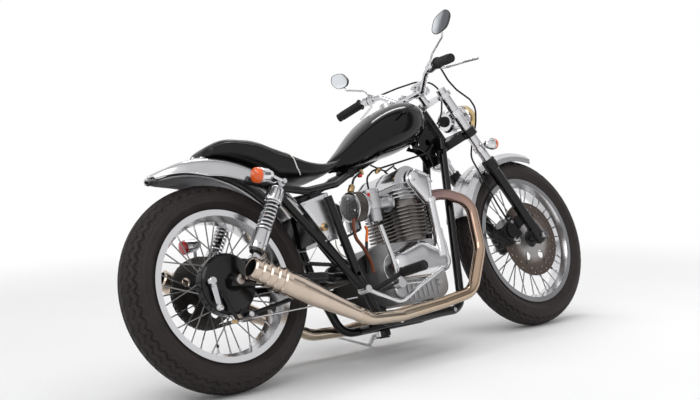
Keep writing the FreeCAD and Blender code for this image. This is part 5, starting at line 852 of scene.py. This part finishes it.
# Hoses and leads: (pile, radius, sides, steps, places)
HOSES = (
    # Rocker wiring that shows over the cam cover
    ("black", 0.0032, 8, 6, ((700, -58, 352), (742, -52, 338), (776, -46, 330), (800, -40, 338),
                             (838, -30, 352))),
    # The fuel filter's two hoses
    ("black", 0.0042, 10, 6, ((584, -70, 284), (598, -68, 304), (622, -64, 318), (650, -60, 330))),
    ("black", 0.0042, 10, 6, ((561, -74, 252), (558, -74, 236), (572, -72, 222), (600, -66, 214))),
    # Copper-brown breather hose and an orange connector behind the carburettors
    ("copper", 0.0062, 12, 8, ((540, -88, 158), (528, -90, 128), (528, -91, 90), (546, -91, 60),
                               (560, -90, 34), (571, -89, 2), (574, -86, -36))),
    ("orange", 0.0050, 10, 6, ((588, -82, 130), (590, -84, 112), (582, -84, 92), (578, -82, 74))),
    ("black", 0.0055, 10, 6, ((578, -82, 74), (570, -80, 40), (566, -78, 6), (560, -74, -30))),
    ("black", 0.0045, 10, 6, ((452, -96, 70), (484, -94, 96), (520, -92, 108), (556, -86, 118))),
    # Pale lead looped below the side plate
    ("pale", 0.0022, 8, 8, ((430, -99, 90), (428, -100, 70), (436, -101, 44), (452, -101, 30),
                            (470, -98, 26))),
    # Oil hoses from the crankcase's back
    *(("black", 0.0065, 12, 6, ((566, out, -8), (540, out, 4), (500, out, 30), (470, out, 70),
                                (450, out, 100))) for out in (-30, 20)),
)
LINES = {"black": ("engine_hoses", "black_rubber"), "copper": ("breather_hose", "copper_hose"),
         "brass": ("fuel_fittings", "brass"), "red": ("red_seals", "wire_red"),
         "orange": ("orange_sleeve", "wire_orange"), "pale": ("pale_lead", "pale_wire")}


def make_lines():
    piles = {key: Pile() for key in LINES}
    black, brass, red = piles["black"], piles["brass"], piles["red"]
    # Plug leads and caps on the front of the head
    for side in SIDES:
        foot, top = mm(889, side * 36, 238), mm(912, side * 33, 262)
        black.lathe(foot, top - foot, [(0, 0.0075), (0.004, 0.0095), (0.024, 0.0095), (0.033, 0.0055)], 16)
        black.tube([top, mm(918, side * 31, 280), mm(905, side * 30, 300), mm(870, side * 28, 322),
                    mm(838, side * 27, 346)], 0.0036, 10, 6)
    # Fuel filter, cock and fittings on the right, below the tank
    brass.lathe(mm(561, -74, 252), mm(584, -70, 284) - mm(561, -74, 252),
                [(0, 0.004), (0.004, 0.0095), (0.008, 0.0115), (0.030, 0.0115), (0.034, 0.0095),
                 (0.038, 0.004)], 24)
    brass.lathe(mm(716, -58, 322), mm(740, -60, 342) - mm(716, -58, 322),
                [(0, 0.005), (0.004, 0.0075), (0.012, 0.0075), (0.013, 0.0095), (0.020, 0.0095),
                 (0.028, 0.005)], 6)
    brass.lathe(mm(648, -60, 318), UP, [(0, 0.005), (0.003, 0.008), (0.012, 0.008), (0.020, 0.005)], 6)
    red.band(mm(628, -60, 316), AHEAD, 0.0045, 0.0065, 0.016, 0.002, 16)
    red.lathe(mm(621, -98, 236), -LEFT, [(0, 0.0060), (0.002, 0.0075), (0.004, 0.0060)], 16)
    for key, radius, sides, steps, places in HOSES:
        piles[key].tube([mm(*place) for place in places], radius, sides, steps)
    for key, (name, look) in LINES.items():
        piles[key].finish(name, look, "chassis")


# Frame, side plates, tank and fender hardware.
# Bolts on both sides are (ahead, left, up, across flats, height, with a washer).
SIDE_BOLTS = (*((ahead, 99.2, up, 0.008, 0.004, False) for ahead, up in ((334, 222), (430, 246), (410, 102))),
              (212, 162, 287.5, 0.019, 0.009, True), (57, 162, 55.5, 0.019, 0.009, True),
              (470, 97, -36.5, 0.022, 0.008, True),
              (900, 100, -214.5, 0.014, 0.007, True), (620, 120, -214.5, 0.014, 0.007, True))
DOMED_NUT = ((0, 0.011), (0.002, 0.011), (0.0025, 0.0075), (0.007, 0.0065), (0.0095, 0.0030))


def make_hardware():
    bolts, brass, dark = Pile(), Pile(), Pile()
    for side in SIDES:
        for ahead, out, up, flats, height, washer in SIDE_BOLTS:
            bolts.bolt(mm(ahead, side * out, up), LEFT * side, flats, height, washer)
        # Seat bracket on the fender's tail, with domed nuts
        for place in (mm(-14, side * 34, 411.5), mm(14, side * 40, 411.0)):
            bolts.lathe(place, UP, DOMED_NUT, 20)
    bolts.slab([mm(-22, -44, 412.4), mm(20, -50, 412.4), mm(20, 50, 412.4), mm(-22, 44, 412.4)], UP * 0,
               UP * 0.0025)
    # Key switch in the right side plate
    brass.lathe(mm(396, -99.2, 139), -LEFT, [(0, 0.014), (0.004, 0.0138), (0.006, 0.0115), (0.009, 0.0112),
                                             (0.0105, 0.0095)], 28)
    dark.lathe(mm(396, -109.0, 139), -LEFT, [(0, 0.0082), (0.0016, 0.0080), (0.0018, 0.0030)], 20)
    # Tank tail bolt
    bolts.lathe(mm(612, -16, 372), mm(600, -24, 380) - mm(612, -16, 372),
                [(0, 0.009), (0.002, 0.009), (0.0025, 0.006), (0.006, 0.005)], 18)
    bolts.finish("frame_bolts", "chrome", "chassis")
    brass.finish("key_switch", "brass", "chassis")
    dark.finish("key_switch_face", "dark_rim", "chassis")


def make_rear_brake():
    rod, spring, brass, bolts = Pile(), Pile(), Pile(), Pile()
    start, end = mm(-14, -100, -120.5), mm(452, -118, -112)
    way = (end - start).normalized()
    rod.rod(start - way * 0.024, end, 0.0028, 10)
    spring.tube(coil(start, way, 0.012, 0.052, 10, 12, 0.0068), 0.0011, 6, 1)
    brass.lathe(start - way * 0.022, way, [(0, 0.0045), (0.002, 0.0060), (0.012, 0.0060),
                                           (0.015, 0.0075)], 12)
    # Light switch rod, from the frame down to the pedal
    rod.rod(mm(355, -106, 89), mm(291, -108, 25), 0.0014, 8)
    # Plate's webs and cam boss
    for place, flats in ((mm(-46, -92, -32.5), 0.012), (mm(40, -99, -106.5), 0.013),
                         (mm(300, -106, -64.5), 0.013)):
        bolts.bolt(place, -LEFT, flats, 0.006)
    rod.finish("brake_rod", "chrome", "chassis")
    spring.finish("brake_spring", "oily_steel", "chassis")
    brass.finish("brake_adjuster", "brass", "chassis")
    bolts.finish("brake_bolts", "chrome", "chassis")


def make_pegs():
    rubber = Pile()
    for side in SIDES:
        start = mm(608, side * 190, -61.5)
        way, _ = span(start, mm(624, side * 296, -58.5))
        for step in range(9):
            rubber.band(start + way * (0.016 + 0.0098 * step), way, 0.0160, 0.0176, 0.0062, 0.001, 28, False)
    rubber.finish("peg_ribs", "black_rubber", "chassis")


def make_stand_spring():
    """A coil with straight ends that runs between the chassis and the side stand."""
    high, low = mm(752, 108, -206), mm(731, 172, -252)
    way, long = span(high, low)
    pile = Pile()
    pile.tube([high, *coil(high, way, 0.010, long - 0.010, 14, 16, 0.0066), low], 0.0016, 6, 1)
    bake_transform(pile.finish("stand_spring", "spring_black", None))


make_engine_details()
make_filters()
make_lines()
make_hardware()
make_rear_brake()
make_pegs()
make_stand_spring()


# Steering group: seals, caps, clamp bolts, grip ribs, caliper and disc hardware
def make_fork_details():
    rubber, bright, dark = Pile(), Pile(), Pile()
    for side in SIDES:
        across = side * 100
        rubber.lathe(fork_mm(58, across, 364), FORK_UP, [(0, 0.0262), (0.002, 0.0275), (0.010, 0.0272),
                                                         (0.014, 0.0215)], 32)
        bright.lathe(fork_mm(58, across, 691.8), FORK_UP, [(0, 0.0185), (0.004, 0.0185), (0.006, 0.0165)], 32)
        bright.bolt(fork_mm(58, across, 697.5), FORK_UP, 0.022, 0.007, False)
        # Yoke pinch bolts look back
        bright.bolt(fork_mm(29, across, 684), -FORK_AHEAD, 0.011, 0.007)
        dark.screw(fork_mm(29, across, 508), -FORK_AHEAD, 0.0055, 0.006)
        # Axle pinch nuts below the legs
        for ahead in (49, 67):
            bright.bolt(fork_mm(ahead, across, -26), -FORK_UP, 0.009, 0.006, False)
        # Riser clamp screws
        for ahead in (-7, 13):
            bright.screw(fork_mm(ahead, side * 45, 763.4), FORK_UP, 0.0045, 0.004)
    rubber.finish("fork_seals", "black_rubber", "steering")
    bright.finish("fork_bolts", "chrome", "steering")
    dark.finish("yoke_bolts", "dark_casting", "steering")


def make_grips():
    rubber, bright, holes = Pile(), Pile(), Pile()
    for side in SIDES:
        bend, end = fork_mm(-15, side * 222, 819), fork_mm(-61, side * 330, 819)
        way, long = span(bend, end)
        for start in (0.012 + 0.0068 * step for step in range(15)):
            if start + 0.006 < long - 0.006:
                rubber.band(bend + way * start, way, 0.0170, 0.0182, 0.0054, 0.0012, 28, False)
        holes.lathe(end, way, [(0.0002, 0.0075), (0.0010, 0.0072), (0.0010, 0.0)], 20)
        # Switch pod on the bar's straight inboard of the grip
        bright.band(fork_mm(-4, side * 166, 812), bar_way(side), 0.0125, 0.0170, 0.022, 0.002, 28)
    rubber.finish("grip_ribs", "black_rubber", "steering")
    bright.finish("bar_switches", "chrome", "steering")
    holes.finish("grip_ends", "dark_casting", "steering")


TICKS, TICK_STEP, TICK_HALF, TICK_REACH = 19, 15, 0.0004, 0.0245
LONG_TICK, SHORT_TICK = 0.0180, 0.0205
NEEDLE_TURN = 0.9


def make_gauge():
    """A plain dial with ticks and a needle, under glass."""
    top, way = fork_mm(76, 0, 768), FORK_UP
    ring, face, ticks, glass = Pile(), Pile(), Pile(), Pile()
    ring.lathe(top, way, [(-0.006, 0.0331), (-0.005, 0.0345), (0.0005, 0.0340), (0.0012, 0.0300)], 40,
               closed=False)
    face.lathe(top, way, [(0.0001, 0.0302), (0.0003, 0.0298)], 40)

    def mark(turn, height, corners):
        """A flat mark: corners are (out, across) from the dial's middle."""
        out = turned(FORK_AHEAD, LEFT, turn)
        ticks.add([top + way * height + out * reach + way.cross(out) * edge for reach, edge in corners],
                  [tuple(range(len(corners)))])

    for step in range(TICKS):
        inner = SHORT_TICK if step % 2 else LONG_TICK
        mark(math.radians(45 + TICK_STEP * step), 0.0005,
             ((inner, -TICK_HALF), (TICK_REACH, -TICK_HALF), (TICK_REACH, TICK_HALF), (inner, TICK_HALF)))
    mark(NEEDLE_TURN, 0.0008, ((-0.005, -0.0009), (-0.005, 0.0009), (0.021, 0)))
    glass.lathe(top, way, [(0.0012, 0.0302), (0.0022, 0.0270), (0.0028, 0.0150), (0.0030, 0.0020)], 36)
    ring.finish("gauge_ring", "chrome", "steering")
    face.finish("gauge_face", "dial_white", "steering")
    ticks.finish("gauge_marks", "dark_rim", "steering", smooth=False)
    glass.finish("gauge_glass", "lamp_glass", "steering")


def make_disc_hardware():
    disc, caliper = Pile(), Pile()
    for step in range(6):
        disc.bolt(wheel_point(FRONT_AXLE, TAU * (step + 0.5) / 6, -0.0572, 0.1075), -LEFT, 0.010, 0.004)
    disc.finish("disc_bolts", "oily_steel", "front_wheel")
    for up, ahead in ((128, -26), (70, -66)):
        caliper.screw(fork_mm(ahead, -97, up), -LEFT, 0.0070, 0.008)
    caliper.finish("caliper_bolts", "plate_steel", "steering")


def make_valve(name, centre, rim_radius, degrees, body):
    stem, cap = Pile(), Pile()
    outer, inner = (wheel_point(centre, math.radians(degrees), 0, rim_radius - depth)
                    for depth in (VALVE_FOOT, VALVE_TIP))
    way = (inner - outer).normalized()
    stem.rod(outer, inner, VALVE_RADIUS, 12)
    stem.bolt(outer + way * 0.001, way, 0.011, 0.004, False)
    cap.lathe(inner - way * 0.008, way, [(0, 0.0042), (0.008, 0.0042), (0.0095, 0.0030)], 12)
    stem.finish(name + "_valve_stem", "chrome", body)
    cap.finish(name + "_valve_cap", "black_rubber", body)


make_fork_details()
make_grips()
make_gauge()
make_disc_hardware()
make_valve("rear", REAR_AXLE, REAR_RIM, degrees=193, body="rear_wheel")
make_valve("front", FRONT_AXLE, FRONT_RIM, degrees=130, body="front_wheel")


# Polished covers: rounded castings in place of the frame's flat-faced ones
def hull_outline(circles, count=72):
    """Points round the hull of circles given as (ahead, up, radius)."""
    points = []
    for turn in (TAU * step / count for step in range(count)):
        c, s = math.cos(turn), math.sin(turn)
        ahead, up, radius = max(circles, key=lambda circle: circle[0] * c + circle[1] * s + circle[2])
        points.append((ahead + radius * c, up + radius * s))
    # Fill the straight runs between circles so that the skin has even faces
    filled = []
    for a, b in pairs_round(points):
        parts = max(1, round(math.dist(a, b) / 6))
        filled += [(a[0] + (b[0] - a[0]) * part / parts, a[1] + (b[1] - a[1]) * part / parts)
                   for part in range(parts)]
    return filled


def nearest_on(spine, point):
    """The nearest point of a line of (ahead, up) places."""
    found = []
    for a, b in zip(spine, spine[1:]):
        run = (b[0] - a[0], b[1] - a[1])
        share = ((point[0] - a[0]) * run[0] + (point[1] - a[1]) * run[1]) / (run[0] ** 2 + run[1] ** 2)
        share = min(1, max(0, share))
        found.append((a[0] + run[0] * share, a[1] + run[1] * share))
    return min(found, key=lambda place: math.dist(place, point))


def dome(pile, circles, base, depth, side, profile):
    """A casting on a hull: profile rows are (share of depth, share of the way in from the edge kept)."""
    outline = hull_outline(circles)
    targets = [nearest_on([circle[:2] for circle in circles], point) for point in outline]
    corners = [mm(target[0] + (ahead - target[0]) * keep, side * (base + depth * share),
                  target[1] + (up - target[1]) * keep)
               for share, keep in profile for (ahead, up), target in zip(outline, targets)]
    faces = ring_faces(len(profile), len(outline), False)
    faces.append(tuple(range(len(corners) - len(outline), len(corners))))
    pile.add(corners, faces if side > 0 else [face[::-1] for face in faces])


COVER_BASE, TOWER_BASE = 70.4, 118.4
TOWER = ((835, 271.5, 40), (868, 263.5, 34), (866, 197.5, 20))
ROUND_PROFILE = ((0, 1), (0.10, 1), (0.11, 0.965), (0.14, 0.955), (0.52, 0.94), (0.66, 0.90), (0.78, 0.83),
                 (0.88, 0.72), (0.945, 0.58), (0.98, 0.42), (0.995, 0.22), (1.0, 0.03))
TOWER_PROFILE = ((0, 1), (0.14, 1), (0.16, 0.97), (0.55, 0.94), (0.75, 0.85), (0.90, 0.66), (0.98, 0.40),
                 (1.0, 0.03))


def replace_cover(pile, name, node):
    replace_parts(pile.finish(name, "polished_alloy", "chassis", sharp_angle=35), node)


def make_covers():
    for node, circles, side, depth in (("engine_cover_right", RIGHT_COVER, -1, 77.5),
                                       ("engine_cover_left", LEFT_COVER, 1, 67.5)):
        pile = Pile()
        dome(pile, circles, COVER_BASE, depth, side, ROUND_PROFILE)
        replace_cover(pile, node + "_cast", node)
    tower = Pile()
    dome(tower, TOWER, TOWER_BASE, 28, -1, TOWER_PROFILE)
    foot = mm(868, -137, -10.5)
    way, long = span(foot, mm(876, -137, 207.5))
    tower.lathe(foot, way, [(-0.010, 0.0240), (0.036, 0.0235), (0.050, 0.0205), (0.064, 0.0195),
                            (0.090, 0.0190), (0.091, 0.0152), (long - 0.030, 0.0150), (long - 0.029, 0.0190),
                            (long - 0.014, 0.0190), (long - 0.010, 0.0160)], 36)
    replace_cover(tower, "bevel_tower_cast", "bevel_drive")


# Rear fender: a rounded channel that narrows to its tail, with a ridge and rolled edges
CROWN, FENDER_HALF, WALL, SHOULDER, FENDER_COLUMNS = 408, 84, 2.6, 24, 84
FENDER_START, FENDER_END = math.radians(30), math.radians(114)
EDGE_ROLL = 0.0026


def fender_section(turn, shrink):
    """Places (across, level) over one section of the fender's skin, or of a skin shrunk inside it."""
    along = max(0, -math.cos(turn) - 0.18) / 0.227
    past = max(0, turn - math.pi / 2) / (FENDER_END - math.pi / 2)
    wide = FENDER_HALF * (1 - 0.55 * along ** 2.2)
    deep, bend = 62 - 50 * past ** 1.2, min(SHOULDER, wide * 0.45)
    wide, bend, top = wide - shrink, bend - shrink, CROWN - shrink
    points = [(-wide, CROWN - deep + (deep - bend) * share) for share in (0, 0.5)]
    points += [(-wide + bend - bend * math.cos(a), top - bend + bend * math.sin(a))
               for a in (math.pi / 2 * step / 6 for step in range(7))]
    for share in (-0.7, -0.45, -0.25, -0.15, -0.08, 0):
        points.append(((wide - bend) * share, top + 4 * max(0, 1 - (share / 0.2) ** 2)))
    return points + [(-out, level) for out, level in reversed(points[:-1])]


def fender_places(turn, points):
    return [mm(level * math.cos(turn), out, level * math.sin(turn)) for out, level in points]


def make_rear_fender():
    corners, edges = [], ([], [])
    for column in range(FENDER_COLUMNS + 1):
        turn = FENDER_START + (FENDER_END - FENDER_START) * column / FENDER_COLUMNS
        outer = fender_places(turn, fender_section(turn, 0))
        inner = fender_places(turn, fender_section(turn, WALL))
        corners += outer + inner[::-1]
        for edge, place in zip(edges, (outer[0], outer[-1])):
            edge.append(place)
    skin = Pile()
    skin.add(corners, ring_faces(FENDER_COLUMNS + 1, len(outer) + len(inner)))
    for edge in edges:
        skin.tube(edge, EDGE_ROLL, 8, 1)
    skin.tube(fender_places(FENDER_END, fender_section(FENDER_END, WALL / 2)), EDGE_ROLL, 8, 2)
    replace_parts(skin.finish("rear_fender_skin", "fender_steel", "chassis", sharp_angle=50), "rear_fender")


# Sump ribs, drain plug, the drum's brake lever and the mufflers' dark mouths
MOUTH_RIGHT, MOUTH_LEFT = 0.438, 0.550


def make_small_castings():
    ribs, plug, lever, mouth = Pile(), Pile(), Pile(), Pile()
    for ahead in range(700, 869, 24):
        ribs.slab([mm(ahead, -69, -96), mm(ahead + 6, -69, -96), mm(ahead + 6, -69, -148),
                   mm(ahead, -69, -148)], LEFT * 0, LEFT * -0.006)
    plug.bolt(mm(882, -74, -104), -LEFT, 0.020, 0.010)
    plug.lathe(mm(690, -70, -112), -LEFT, [(0, 0.026), (0.006, 0.026), (0.009, 0.023), (0.010, 0.006)], 32)
    high, low = mm(-77, -103, 12), mm(-73, -108, -72)
    across = (low - high).normalized().cross(LEFT).normalized()
    lever.lathe(high + LEFT * 0.006, -LEFT, [(0, 0.0125), (0.012, 0.0125), (0.014, 0.0105)], 24)
    lever.lathe(low + LEFT * 0.004, -LEFT, [(0, 0.0095), (0.012, 0.0095), (0.0135, 0.0075)], 20)
    lever.slab([high + across * 0.0085, high - across * 0.0085, low - across * 0.006, low + across * 0.006],
               LEFT * -0.003, LEFT * 0.003)
    for side in SIDES:
        start = mm(404, side * 168, -172.5)
        way, _ = span(start, mm(14, side * 184, 24.5))
        end = start + way * (MOUTH_LEFT if side > 0 else MOUTH_RIGHT)
        mouth.lathe(end - way * 0.058, way, [(0, 0.012), (0, 0.0276), (0.0575, 0.0276), (0.0578, 0.0279),
                                             (0.0578, 0.0282), (0, 0.0282)], 32, closed=False)
        mouth.lathe(end - way * 0.0585, way, [(0, 0.028), (0.001, 0.028)], 32)
    ribs.finish("sump_ribs", "engine_alloy", "chassis", smooth=False)
    plug.finish("sump_plugs", "plate_steel", "chassis")
    lever.finish("rear_brake_lever", "chrome", "chassis")
    mouth.finish("muffler_mouths", "dark_rim", "chassis")


make_covers()
make_rear_fender()
make_small_castings()


# Studio: a pale floor that keeps the shadow near the machine and turns white away from it
FLOOR_HALF = 40.0
FLOOR_SHADES = [(0.3, (0.78, 0.78, 0.785)), (0.7, (0.80, 0.80, 0.805))]
SHADOW_REACH, WHITE_FROM = 1.3, 3.6
WORLD_LIGHT = 0.55
WHITE = (1, 1, 1, 1)
BACKDROP_WAY = (math.sin(CAMERA_YAW) * 0.96, math.cos(CAMERA_YAW) * 0.96, -0.28)
BACKDROP_SHADES = [(0.0, (0.95, 0.95, 0.96)), (0.30, (0.78, 0.78, 0.79)), (0.42, (0.66, 0.66, 0.67)),
                   (0.465, (0.16, 0.16, 0.165)), (0.51, (0.18, 0.18, 0.19)), (0.555, (0.90, 0.90, 0.91))]


def seen_rays(tree):
    """One for the rays that see the background: from the camera, from gloss or through glass."""
    total = tree.add("LightPath", {}, "Is Camera Ray")
    for name in ("Is Glossy Ray", "Is Transmission Ray"):
        total = tree.add("Math", {0: total, 1: tree.add("LightPath", {}, name)}, operation="MAXIMUM")
    return total


def make_floor():
    mesh = bpy.data.meshes.new("floor")
    mesh.from_pydata([(-FLOOR_HALF, -FLOOR_HALF, 0), (FLOOR_HALF, -FLOOR_HALF, 0),
                      (FLOOR_HALF, FLOOR_HALF, 0), (-FLOOR_HALF, FLOOR_HALF, 0)], [], [(0, 1, 2, 3)])
    floor = bpy.data.objects.new("floor", mesh)
    bpy.context.scene.collection.objects.link(floor)
    tree, shader = new_material("floor")
    tree.join(shader, {"Roughness": 0.75, "Specular IOR Level": 0.15,
                       "Base Color": tree.ramp(tree.noise(1.5), FLOOR_SHADES)})
    away = tree.add("VectorMath", {0: tree.add("TexCoord", {}, "Object")}, "Value", operation="LENGTH")
    fade = tree.add("MapRange", {"Value": away, "From Min": SHADOW_REACH, "From Max": WHITE_FROM},
                    interpolation_type="SMOOTHSTEP")
    share = tree.add("Math", {0: fade, 1: seen_rays(tree)}, operation="MULTIPLY")
    mixed = tree.add("MixShader", {"Fac": share, 1: shader.outputs["BSDF"], 2: tree.add("Emission", {})})
    tree.join(tree.nodes["Material Output"], {"Surface": mixed})
    mesh.materials.append(tree.owner)


def make_world():
    """White to the camera; to gloss, a studio with dark gaps between its white panels."""
    world = bpy.data.worlds.new("world")
    bpy.context.scene.world = world
    tree = Tree(world)
    back = tree.nodes["Background"]
    tree.join(back, {"Color": WHITE, "Strength": WORLD_LIGHT})
    bright = tree.add("Background", {"Color": WHITE})
    # Gloss sees the white backdrop beyond the machine and the dim room on the other side
    toward = tree.add("VectorMath", {0: tree.add("TexCoord", {}, "Generated"), 1: BACKDROP_WAY}, "Value",
                      operation="DOT_PRODUCT")
    half = tree.add("Math", {0: toward, 1: 0.5, 2: 0.5}, operation="MULTIPLY_ADD")
    studio = tree.add("Background", {"Color": tree.ramp(half, BACKDROP_SHADES)})
    glossy = tree.add("MixShader", {"Fac": tree.add("LightPath", {}, "Is Glossy Ray"),
                                    1: back.outputs["Background"], 2: studio})
    camera = tree.add("MixShader", {"Fac": tree.add("LightPath", {}, "Is Camera Ray"), 1: glossy, 2: bright})
    tree.join(tree.nodes["World Output"], {"Surface": camera})


def make_lamp(name, where, target, width, height, power, mirrored=True):
    """A soft lamp that faces its target; one that isn't mirrored leaves no spot on metal."""
    data = bpy.data.lights.new(name, "AREA")
    data.shape = "RECTANGLE"
    data.size = width
    data.size_y = height
    data.energy = power
    lamp = bpy.data.objects.new(name, data)
    lamp.location = where
    lamp.visible_glossy = mirrored
    lamp.rotation_euler = (Vector(target) - Vector(where)).to_track_quat("-Z", "Y").to_euler()
    bpy.context.scene.collection.objects.link(lamp)


make_floor()
make_world()
make_lamp("key", (-2.4, -0.6, 2.6), (0, 0, 0.5), width=3.0, height=1.8, power=34)
make_lamp("strip", (1.2, 1.1, 3.2), (0.2, 0, 0.6), width=1.8, height=0.35, power=20)
make_lamp("top", (0.4, 0.2, 3.4), (0, 0, 0.4), width=4.2, height=2.6, power=58, mirrored=False)
make_lamp("fill", (2.2, -2.8, 1.9), (0, 0, 0.5), width=2.6, height=2.6, power=40, mirrored=False)

bpy.context.scene.view_settings.view_transform = "Standard"
